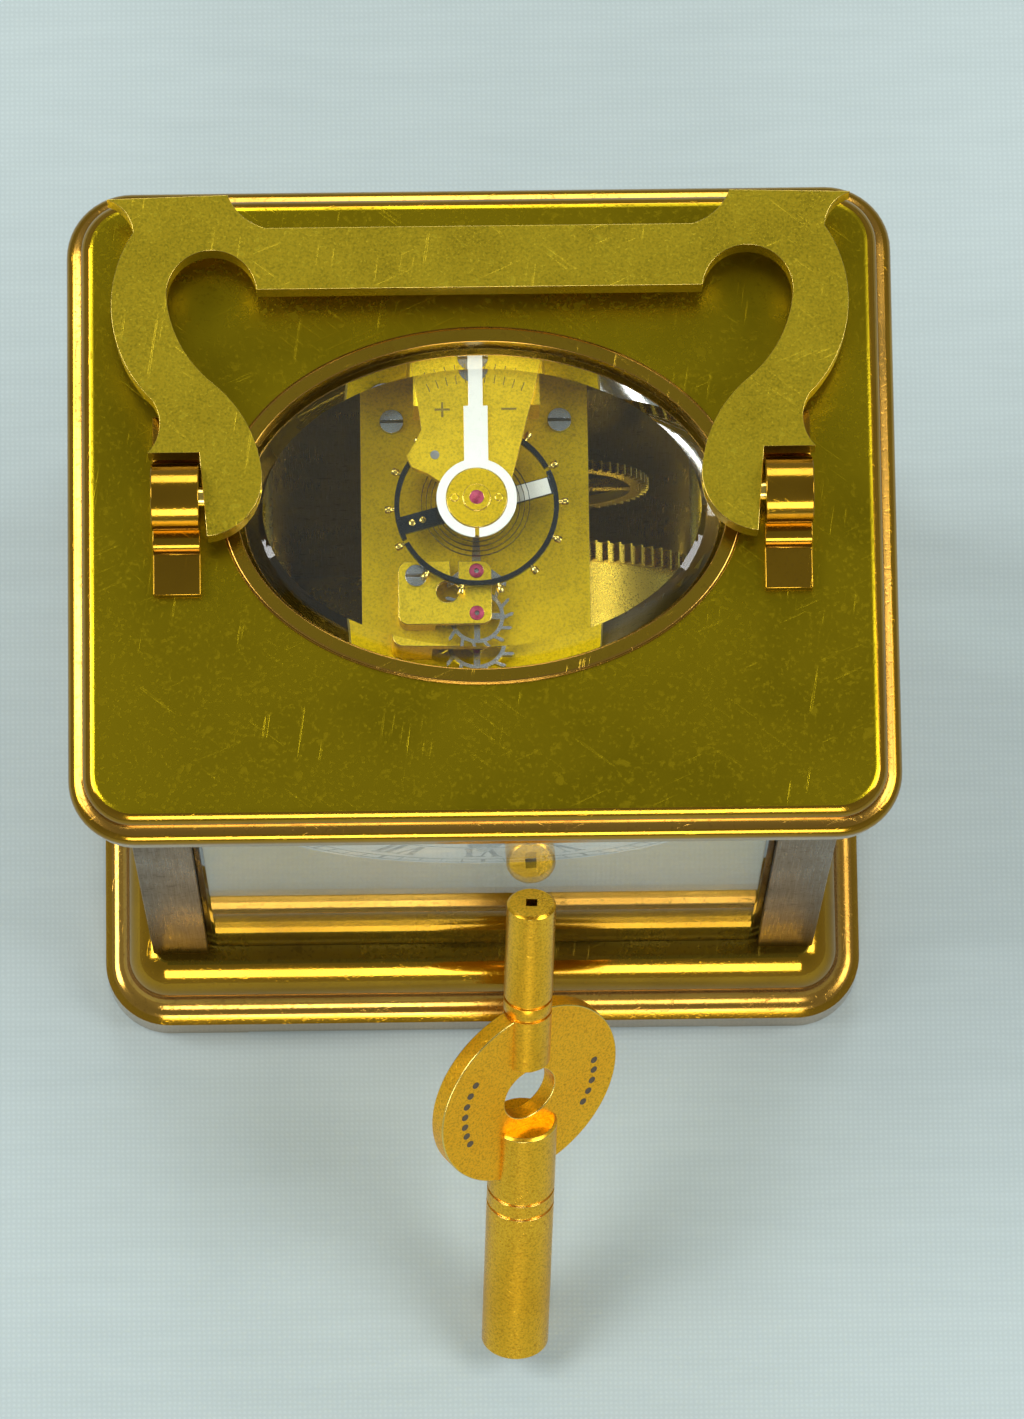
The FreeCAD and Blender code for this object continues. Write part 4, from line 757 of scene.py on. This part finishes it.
class SpiralStrip(Recipe):
    """A flat spiral of thin strip."""

    INPUTS = (("Turns", "NodeSocketFloat"), ("Inner", "NodeSocketFloat"), ("Outer", "NodeSocketFloat"),
              ("Thick", "NodeSocketFloat"), ("Tall", "NodeSocketFloat"), ("Finish", "NodeSocketMaterial"))
    STEPS = 36

    def wire(self) -> None:
        """Joins the tree's nodes."""
        link, source = self.tree.links.new, self.source
        spiral = self.add("GeometryNodeCurveSpiral")
        section = self.add("GeometryNodeCurvePrimitiveQuadrilateral")
        spiral.inputs["Resolution"].default_value = self.STEPS
        spiral.inputs["Height"].default_value = 0.0
        for label, socket in (("Turns", spiral.inputs["Rotations"]), ("Inner", spiral.inputs["Start Radius"]),
                              ("Outer", spiral.inputs["End Radius"]), ("Thick", section.inputs["Width"]),
                              ("Tall", section.inputs["Height"])):
            link(source.outputs[label], socket)
        upright = self.add("GeometryNodeSetCurveNormal", mode="Z_UP")
        sweep = self.add("GeometryNodeCurveToMesh")
        sweep.inputs["Fill Caps"].default_value = True
        link(spiral.outputs[0], upright.inputs[0])
        link(upright.outputs[0], sweep.inputs["Curve"])
        link(section.outputs[0], sweep.inputs["Profile Curve"])
        self.end(sweep.outputs[0])


Zone = tuple[Callable[[bpy.types.MeshPolygon], bool], Finish]


@dataclass
class Softening:
    """How a part's edges are eased: the width of the round, and the finish along it, which is a painted
    highlight where it is brighter than the faces.
    """

    width: float
    finish: Finish
    edge: Finish = EDGE_BRASS
    segments: int = 2
    sharper_than: float = 32.0

    def copy_of(self, node: str, *zones: Zone) -> bpy.types.Object:
        """A copy of a part with eased edges, which stands for it.

        Args:
            node: The part's name.
            zones: Tests on a face, each with the finish of the faces that pass it.

        Returns:
            The piece.
        """
        source = frame["nodes"][node]
        mesh = source.data.copy()
        shape = bmesh.new()
        shape.from_mesh(mesh)
        bmesh.ops.remove_doubles(shape, verts=shape.verts, dist=0.0005 * MM)
        bmesh.ops.dissolve_limit(shape, angle_limit=math.radians(0.5), verts=shape.verts, edges=shape.edges,
                                 use_dissolve_boundaries=False, delimit=set())
        shape.to_mesh(mesh)
        shape.free()
        for name in ("custom_normal", "sharp_edge", "sharp_face"):
            if name in mesh.attributes:
                mesh.attributes.remove(mesh.attributes[name])
        piece = new_object(node + "_finished", mesh)
        mesh.materials.clear()
        mesh.materials.append(material(self.finish))
        mesh.materials.append(material(self.edge))
        self.ease(piece)
        for face in piece.data.polygons:
            for k, (test, _) in enumerate(zones):
                if face.material_index == 0 and test(face):
                    face.material_index = k + 2
        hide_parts(node)
        finishes = [self.finish, self.edge, *(finish for _, finish in zones)]
        return dress(piece, source["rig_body"], SLOTS[node], *finishes)

    def ease(self, piece: bpy.types.Object) -> None:
        """Rounds the piece's sharp edges and leaves its flats flat to the light."""
        for face in piece.data.polygons:
            face.use_smooth = True
        bevel = piece.modifiers.new("ease", "BEVEL")
        bevel.width, bevel.segments = self.width, self.segments
        bevel.limit_method, bevel.angle_limit = "ANGLE", math.radians(self.sharper_than)
        bevel.material = 1
        bevel.use_clamp_overlap = True
        weighted = piece.modifiers.new("flats", "WEIGHTED_NORMAL")
        weighted.keep_sharp = True
        evaluated(piece)


SLOTS = {part["node"]: part["material_slot"] for part in frame["record"]["subparts"]}


# ---------------------------------------------------------------- the studio


@dataclass
class Studio:
    """The floor, the soft lights and the camera, which looks down over the front of the top."""

    elevation: float = 78.24
    azimuth: float = 2.42
    roll: float = 1.69
    distance: float = 824.9 * MM
    lens: float = 213.5
    aim_beside_top: tuple[float, float, float] = (2.67 * MM, -20.53 * MM, -0.3 * MM)
    floor: float = 6.0

    SENSOR = 36.0
    CLIP_START = 0.01
    ROOM = ((0.0, tone(0.42, 0.445, 0.425)), (0.55, tone(0.31, 0.33, 0.315)), (1.0, tone(0.26, 0.28, 0.255)))
    LAMPS = (
        ("left_box", (-0.62, 0.05, 0.75), 0.42, 5.6),
        ("right_box", (0.62, -0.05, 0.75), 0.42, 4.6),
        ("back_box", (0.05, 0.75, 0.70), 0.45, 3.0),
        ("front_box", (0.0, -0.80, 0.45), 0.35, 2.8),
    )

    def build(self) -> None:
        """Makes everything that isn't the clock."""
        self.camera()
        self.ground()
        self.sky()
        self.lamps()
        bpy.context.scene.view_settings.view_transform = "Standard"

    def camera(self) -> None:
        """Puts the camera on its line of sight, slightly turned about it."""
        rise, turn, roll = (math.radians(a) for a in (self.elevation, self.azimuth, self.roll))
        top_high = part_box("top")[1]
        aim = Vector((0.0, 0.0, top_high.z)) + Vector(self.aim_beside_top)
        ahead = Vector((math.sin(turn) * math.cos(rise), math.cos(turn) * math.cos(rise), -math.sin(rise)))
        right = Vector((math.cos(turn), -math.sin(turn), 0.0))
        up = right.cross(ahead)
        right, up = (right * math.cos(roll) + up * math.sin(roll),
                     up * math.cos(roll) - right * math.sin(roll))
        data = bpy.data.cameras.new("camera")
        data.lens, data.sensor_width, data.clip_start = self.lens, self.SENSOR, self.CLIP_START
        made = new_object("camera", data)
        place = Matrix((right, up, -ahead)).transposed().to_4x4()
        place.translation = aim - ahead * self.distance
        made.matrix_world = place
        bpy.context.scene.camera = made

    def ground(self) -> None:
        """Lays the floor."""
        shape = bmesh.new()
        bmesh.ops.create_grid(shape, x_segments=4, y_segments=4, size=self.floor / 2)
        ground = from_bmesh("floor", shape, Matrix.Translation((0, 0, CAD_BOX[0].z)))
        ground.data.materials.append(material(CLOTH))
        if ground.data.polygons[0].normal.z < 0:
            ground.data.flip_normals()

    def sky(self) -> None:
        """A pale room: darker overhead, lighter towards the horizon."""
        world = bpy.data.worlds.new("room")
        bpy.context.scene.world = world
        world.use_nodes = True
        tree = world.node_tree
        tree.nodes.clear()
        coords, split = tree.nodes.new("ShaderNodeTexCoord"), tree.nodes.new("ShaderNodeSeparateXYZ")
        ramp, glow = tree.nodes.new("ShaderNodeValToRGB"), tree.nodes.new("ShaderNodeBackground")
        out = tree.nodes.new("ShaderNodeOutputWorld")
        stops = ramp.color_ramp.elements
        stops.new(self.ROOM[1][0])
        for stop, (height, colour) in zip(stops, self.ROOM):
            stop.position, stop.color = height, colour
        for one, other in ((coords.outputs["Generated"], split.inputs[0]),
                           (split.outputs["Z"], ramp.inputs[0]),
                           (ramp.outputs[0], glow.inputs[0]), (glow.outputs[0], out.inputs[0])):
            tree.links.new(one, other)

    def lamps(self) -> None:
        """Four soft boxes round the clock."""
        for name, place, size, power in self.LAMPS:
            data = bpy.data.lights.new(name, "AREA")
            data.shape, data.size, data.energy = "SQUARE", size, power
            lamp = new_object(name, data)
            lamp.location = place
            aim = middle("top") - Vector(place)
            lamp.rotation_euler = aim.to_track_quat("-Z", "Y").to_euler()


# ---------------------------------------------------------------- the clock


def dress_plain_parts() -> None:
    """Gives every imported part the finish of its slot, or its own."""
    for node, part in frame["nodes"].items():
        finish = OWN_FINISH.get(node, SLOT_FINISH[SLOTS[node]])
        for holder in part.material_slots:
            holder.link = "OBJECT"
            holder.material = material(finish)


@dataclass
class Case:
    """The base, the top and its window ring, the pillars, the lugs, the handle and the back door."""

    moulding: float = 0.16 * MM
    plate: float = 0.30 * MM
    small: float = 0.12 * MM

    def build(self) -> None:
        """Makes the case's eased parts."""
        top_z, base_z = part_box("top")[1].z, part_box("base")[1].z

        def flat_at(height: float) -> Callable[[bpy.types.MeshPolygon], bool]:
            """A test for a level face at that height."""
            return lambda face: face.normal.z > LEVEL and abs(face.center.z - height) < self.plate

        def band(high: float, low: float) -> Callable[[bpy.types.MeshPolygon], bool]:
            """A test for a face between two heights."""
            return lambda face: low < face.center.z < high

        Softening(self.moulding, CASE_BRASS, CASE_BRASS).copy_of(
            "top", (flat_at(top_z), PANEL_BRASS), (band(top_z - 1.5 * MM, top_z - 2.6 * MM), COPPER_BRASS),
            (band(top_z - 4.8 * MM, top_z - 6.0 * MM), COPPER_BRASS))
        # The base's level top, the floor inside the case, takes the dark brass of painted shade.
        Softening(self.moulding, CASE_BRASS, CASE_BRASS).copy_of(
            "base", (flat_at(base_z), PAINTED_SHADE_FLOOR_BRASS),
            (band(base_z - 5.0 * MM, base_z - 6.8 * MM), COPPER_BRASS),
            (band(1.0 * MM, -1.0 * MM), COPPER_BRASS))
        # The pillars take the dark brass of painted shade.
        for node in ("front_pillars", "back_pillars"):
            Softening(self.moulding, PAINTED_SHADE_PILLAR_BRASS, PAINTED_SHADE_PILLAR_BRASS).copy_of(node)
        Softening(self.moulding, BEZEL_BRASS, COPPER_BRASS).copy_of("oval_bezel")
        # The handle's rounds take the brighter edge brass: a painted highlight.
        Softening(self.plate, BRUSHED_BRASS).copy_of("handle")
        for node in ("lug_left", "lug_right"):
            Softening(self.small, CASE_BRASS, CASE_BRASS).copy_of(node)
        Softening(self.small, CASE_BRASS, CASE_BRASS).copy_of("door_frame")


@dataclass
class Dial:
    """The enamel dial's tracks and Roman numerals."""

    proud: float = 0.03 * MM
    outer: float = 22.2 * MM
    inner: float = 20.6 * MM
    line: float = 0.14 * MM
    numeral_radius: float = 17.0 * MM
    numeral_height: float = 4.4 * MM

    NUMERALS = ("XII", "I", "II", "III", "IIII", "V", "VI", "VII", "VIII", "IX", "X", "XI")
    ADVANCE = {"I": 0.32, "V": 0.78, "X": 0.78}

    def build(self) -> None:
        """Makes everything drawn on the dial."""
        low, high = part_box("dial")
        centre = (low + high) / 2
        self.place = Matrix.Translation((centre.x, low.y, centre.z)) @ Matrix.Rotation(math.pi / 2, 4, "X")
        spread = ArcSpread("dial_spread")
        ticks = (
            ("minute_ticks", 60, 6.0, self.line, (self.inner, self.outer)),
            ("five_minute_ticks", 12, 30.0, self.line * 3, (self.inner, self.outer)),
        )
        for name, count, step, width, (near, far) in ticks:
            bar = slab([[(near, -width / 2), (far, -width / 2), (far, width / 2), (near, width / 2)]],
                       0.0, self.proud)
            piece = spread.make(name, bar, INK, count, 0.0, 0.0, step, self.place)
            dress(piece, "case", "enamel", INK)
        for name, radius in (("inner_track", self.inner), ("outer_track", self.outer),
                             ("numeral_track", self.numeral_radius - self.numeral_height * 0.62)):
            dress(from_bmesh(name, self.ring(radius), self.place), "case", "enamel", INK)
        dress(self.numerals(), "case", "enamel", INK)

    def ring(self, radius: float, steps: int = 96) -> bmesh.types.BMesh:
        """A thin flat ring.

        Args:
            radius: The radius of its middle.
            steps: How many faces go round.

        Returns:
            The closed ring.
        """
        shape = bmesh.new()
        section = [(radius - self.line / 2, 0.0), (radius + self.line / 2, 0.0),
                   (radius + self.line / 2, self.proud), (radius - self.line / 2, self.proud)]
        verts = [shape.verts.new((x, 0.0, z)) for x, z in section]
        edges = [shape.edges.new((verts[k], verts[(k + 1) % 4])) for k in range(4)]
        bmesh.ops.spin(shape, geom=verts + edges, cent=(0, 0, 0), axis=(0, 0, 1), angle=2 * math.pi,
                       steps=steps, use_duplicate=False)
        return shape

    def strokes(self, letter: str, left: float) -> list[list[Point]]:
        """The strokes of one letter, a unit high, standing on y = 0.

        Args:
            letter: I, V or X.
            left: Where the letter starts.

        Returns:
            Closed outlines.
        """
        thick, thin, serif, tall = 0.17, 0.06, 0.05, 1.0

        def leaning(low_x: float, high_x: float, width: float) -> list[Point]:
            """A straight stroke from the foot to the head."""
            return [(low_x - width / 2, 0), (low_x + width / 2, 0), (high_x + width / 2, tall),
                    (high_x - width / 2, tall)]

        def foot(x: float, y: float, width: float) -> list[Point]:
            """A serif."""
            left_x, right_x, high_y = x - width / 2, x + width / 2, y + serif
            return [(left_x, y), (right_x, y), (right_x, high_y), (left_x, high_y)]

        if letter == "I":
            x = left + 0.16
            return [leaning(x, x, thick), foot(x, 0, 0.3), foot(x, tall - serif, 0.3)]
        a, b = left + 0.17, left + 0.61
        if letter == "V":
            point = (a + b) / 2
            return [leaning(point, a, thick), leaning(point, b, thin), foot(a, tall - serif, 0.32),
                    foot(b, tall - serif, 0.26)]
        return [leaning(b, a, thick), leaning(a, b, thin), foot(a, tall - serif, 0.32),
                foot(b, tall - serif, 0.26), foot(a, 0, 0.26), foot(b, 0, 0.32)]

    def numerals(self) -> bpy.types.Object:
        """The twelve hours, each standing on the side towards the centre.

        Returns:
            The piece.
        """
        whole = bmesh.new()
        for hour, text in enumerate(self.NUMERALS):
            width = sum(self.ADVANCE[letter] for letter in text)
            left, outlines = -width / 2, []
            for letter in text:
                outlines += self.strokes(letter, left)
                left += self.ADVANCE[letter]
            for k, outline in enumerate(outlines):
                high = self.proud * (1.0 + 0.02 * k)
                glyph = slab([outline], 0.0, high)
                size = self.numeral_height
                squeeze = 0.72 if len(text) > 3 else 0.85
                turn = Matrix.Rotation(-math.radians(30 * hour), 4, "Z")
                sit = Matrix.Translation((0, self.numeral_radius - size / 2, 0))
                scale = Matrix.Diagonal((size * squeeze, size, 1, 1))
                bmesh.ops.transform(glyph, matrix=turn @ sit @ scale, verts=glyph.verts)
                part = bpy.data.meshes.new("glyph")
                glyph.to_mesh(part)
                glyph.free()
                whole.from_mesh(part)
                bpy.data.meshes.remove(part)
        bmesh.ops.recalc_face_normals(whole, faces=whole.faces)
        mesh = bpy.data.meshes.new("hour_numerals")
        whole.to_mesh(mesh)
        whole.free()
        mesh.transform(self.place)
        return new_object("hour_numerals", mesh)


@dataclass
class Platform:
    """The lever platform: its gilt plates, the balance's fittings, its spring and the index's scale."""

    plate: float = 0.10 * MM
    screw_head: float = 0.38 * MM
    timing_screws: int = 14
    arm_turn: float = 15.0
    rim_radius: float = 8.2 * MM
    spring_turns: float = 9.0
    scale_radius: float = 12.3 * MM
    slot_area: float = 1.0 * MM * MM
    arm_drop: float = 0.2 * MM
    button_radius: float = 6.1 * MM
    button_gap: float = 0.55 * MM
    polished_arm: tuple[float, float, float] = (1.7 * MM, 7.5 * MM, 0.82 * MM)
    mark_depth: float = -0.01 * MM
    mark_height: float = 0.012 * MM

    def build(self) -> None:
        """Makes the platform's pieces."""
        self.plates()
        self.balance_fittings()
        self.hairspring()
        self.index_scale()

    def staff(self, height: float) -> Matrix:
        """A place on the balance's axis at that height."""
        axis = middle("balance_staff")
        return Matrix.Translation((axis.x, axis.y, height))

    def plates(self) -> None:
        """Eases the plates, the cock, the bridge, the index and the end cap."""
        # The rounds of these copies take the brighter edge brass: a painted highlight.
        Softening(self.plate, GILT).copy_of("platform")
        Softening(self.plate, COCK_GILT).copy_of("balance_cock")
        Softening(self.plate, COCK_GILT).copy_of("escape_bridge")
        Softening(self.plate * 0.6, GILT).copy_of("end_cap")
        Softening(self.plate * 0.6, PAINTED_SHEEN_STEEL, PAINTED_SHEEN_STEEL).copy_of("regulator")
        Softening(self.plate * 0.6, BLUED_STEEL, BLUED_STEEL).copy_of("balance")
        for node in ("platform_screws", "bridge_screw"):
            # The slots' level floors take the near-black recess finish: painted shade.
            Softening(self.plate * 0.4, SCREW_STEEL, SCREW_STEEL).copy_of(
                node, (lambda face: face.normal.z > LEVEL and face.area < self.slot_area, RECESS_SHADE))

    def timing_screw(self) -> bmesh.types.BMesh:
        """A cheese-headed screw along +X, from its shank to its domed head.

        Returns:
            The screw.
        """
        head = self.screw_head
        profile = [(0.0, -0.05 * MM), (0.22 * MM, -0.05 * MM), (0.22 * MM, 0.3 * MM), (head * 0.92, 0.3 * MM),
                   (head, 0.36 * MM), (head, 0.84 * MM), (head * 0.85, 0.94 * MM), (0.0, 0.95 * MM)]
        shape = lathe(profile, 20)
        bmesh.ops.transform(shape, matrix=Matrix.Rotation(math.pi / 2, 4, "Y"), verts=shape.verts)
        return shape

    def balance_fittings(self) -> None:
        """The timing screws round the rim, two small screws on one arm and a painted highlight on the other
        arm.
        """
        low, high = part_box("timing_screws")
        spread = ArcSpread("rim_spread")
        step = 360.0 / self.timing_screws
        level = self.staff((low.z + high.z) / 2)
        screws = spread.make("rim_screws", self.timing_screw(), EDGE_BRASS, self.timing_screws,
                             self.rim_radius, self.arm_turn + step / 2, step, level)
        smooth(screws.data, 40)
        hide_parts("timing_screws")
        dress(screws, "balance", "movement_brass", EDGE_BRASS)
        arm_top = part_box("balance")[1].z - self.arm_drop
        button = lathe([(0.0, -0.1 * MM), (0.34 * MM, -0.1 * MM), (0.34 * MM, 0.12 * MM),
                        (0.26 * MM, 0.17 * MM), (0.0, 0.18 * MM)], 20)
        outward = Matrix.Rotation(math.radians(180 + self.arm_turn), 4, "Z")
        place = self.staff(arm_top) @ outward @ Matrix.Translation((self.button_radius, 0, 0))
        pair = ArcSpread("arm_spread").make("arm_screws", button, EDGE_BRASS, 2, self.button_gap, 0.0,
                                            180.0, place)
        smooth(pair.data, 40)
        dress(pair, "balance", "movement_brass", EDGE_BRASS)
        # A thin bright slab on the other arm: a painted highlight.
        near, far, half = self.polished_arm
        bright = slab([[(near, -half), (far, -half), (far, half), (near, half)]], -0.02 * MM, 0.015 * MM)
        place = self.staff(arm_top) @ Matrix.Rotation(math.radians(self.arm_turn), 4, "Z")
        dress(from_bmesh("polished_arm", bright, place), "balance", "polished_steel", PAINTED_SHEEN_STEEL)

    def hairspring(self) -> None:
        """The blued spiral between the collet and the stud."""
        low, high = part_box("hairspring")
        stud = middle("hairspring_stud")
        staff = middle("balance_staff")
        reach = math.hypot(stud.x - staff.x, stud.y - staff.y) - 0.5 * MM
        end = math.degrees(math.atan2(stud.y - staff.y, stud.x - staff.x))
        place = self.staff((low.z + high.z) / 2) @ Matrix.Rotation(math.radians(end), 4, "Z")
        spring = SpiralStrip("spiral_strip").bake("hairspring_coil", place, {
            "Turns": self.spring_turns, "Inner": 1.2 * MM, "Outer": reach, "Thick": 0.06 * MM,
            "Tall": high.z - low.z - 0.1 * MM, "Finish": material(BLUED_STEEL)})
        smooth(spring.data, 50)
        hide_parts("hairspring")
        dress(spring, "case", "blued_steel", BLUED_STEEL)

    def index_scale(self) -> None:
        """Plain graduations on the cock under the pointer, with a plus and a minus at their ends."""
        top = self.staff(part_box("balance_cock")[1].z)
        stroke = slab([[(-0.45 * MM, -0.05 * MM), (0.45 * MM, -0.05 * MM), (0.45 * MM, 0.05 * MM),
                        (-0.45 * MM, 0.05 * MM)]], self.mark_depth, self.mark_height)
        # The graduations and signs are bright brass: partly the cut's own colour, partly painted highlight.
        marks = ArcSpread("scale_spread").make("index_graduations", stroke, EDGE_BRASS, 11,
                                               self.scale_radius, 67.5, 4.5, top)
        dress(marks, "case", "movement_brass", EDGE_BRASS)
        bars = []
        half, thin = 0.75 * MM, 0.11 * MM
        reach = self.scale_radius - 2.6 * MM
        for side in (-1, 1):
            angle = math.radians(90 + side * 20)
            x, y = reach * math.cos(angle), reach * math.sin(angle)
            low, high = y - thin, y + thin
            bars.append([(x - half, low), (x + half, low), (x + half, high), (x - half, high)])
        for sign in (-1, 1):
            low, high = sorted((y + sign * thin, y + sign * half))
            bars.append([(x - thin, low), (x + thin, low), (x + thin, high), (x - thin, high)])
        signs = from_bmesh("plus_and_minus", slab(bars, self.mark_depth, self.mark_height), top)
        dress(signs, "case", "movement_brass", EDGE_BRASS)


@dataclass
class Key:
    """The double-ended key, leaning on the front glass."""

    bow_turn: float = 36.0
    bow_half: float = 1.0 * MM
    dots_radius: float = 8.4 * MM
    dot: float = 0.42 * MM

    def build(self) -> None:
        """Eases the key's pieces and punches its row of dots."""
        for node, finish in (("key_winding_tube", KEY_BRASS), ("key_setting_tube", KEY_BRASS),
                             ("key_bow", BOW_BRASS)):
            # The rounds take the brighter edge brass: a painted highlight.
            Softening(0.12 * MM, finish).copy_of(node)
        spread = ArcSpread("punch_spread")
        for name, start, count in (("punched_dots_left", 148.0, 7), ("punched_dots_right", -32.0, 5)):
            # The dots take the near-black recess finish: painted shade in their dishes.
            piece = spread.make(name, self.punch(), RECESS_SHADE, count, self.dots_radius, start, 9.5, self.face())
            dress(piece, "key", "key_brass", RECESS_SHADE)

    def face(self) -> Matrix:
        """The middle of the bow's front face, with +Z out of the face."""
        low_end, high_end = middle("key_winding_tube"), middle("key_setting_tube")
        axis = (high_end - low_end).normalized()
        side = Vector((axis.y, -axis.x, 0.0)).normalized()
        front = axis.cross(side)
        turn = math.radians(self.bow_turn)
        normal = -(front * math.cos(turn) - side * math.sin(turn))
        across = axis.cross(normal).normalized()
        place = Matrix((across, axis, normal)).transposed().to_4x4()
        place.translation = middle("key_bow") + normal * self.bow_half
        return place

    def punch(self) -> bmesh.types.BMesh:
        """One punched dot: a shallow dished disc with a slight burr round it.

        Returns:
            The closed dot.
        """
        return lathe([(0.0, -0.05 * MM), (self.dot, -0.05 * MM), (self.dot, 0.015 * MM),
                      (self.dot * 0.8, 0.03 * MM), (self.dot * 0.6, 0.012 * MM), (0.0, 0.004 * MM)], 16)


def main() -> None:
    """Builds the studio and the clock, in order."""
    logging.basicConfig(level=logging.INFO, format="%(name)s %(message)s")
    builders: tuple[Callable[[], None], ...] = (
        Studio().build, dress_plain_parts, Case().build, Dial().build, Platform().build, Key().build)
    for build in builders:
        build()
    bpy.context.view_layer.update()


if __name__ == "__main__":
    main()
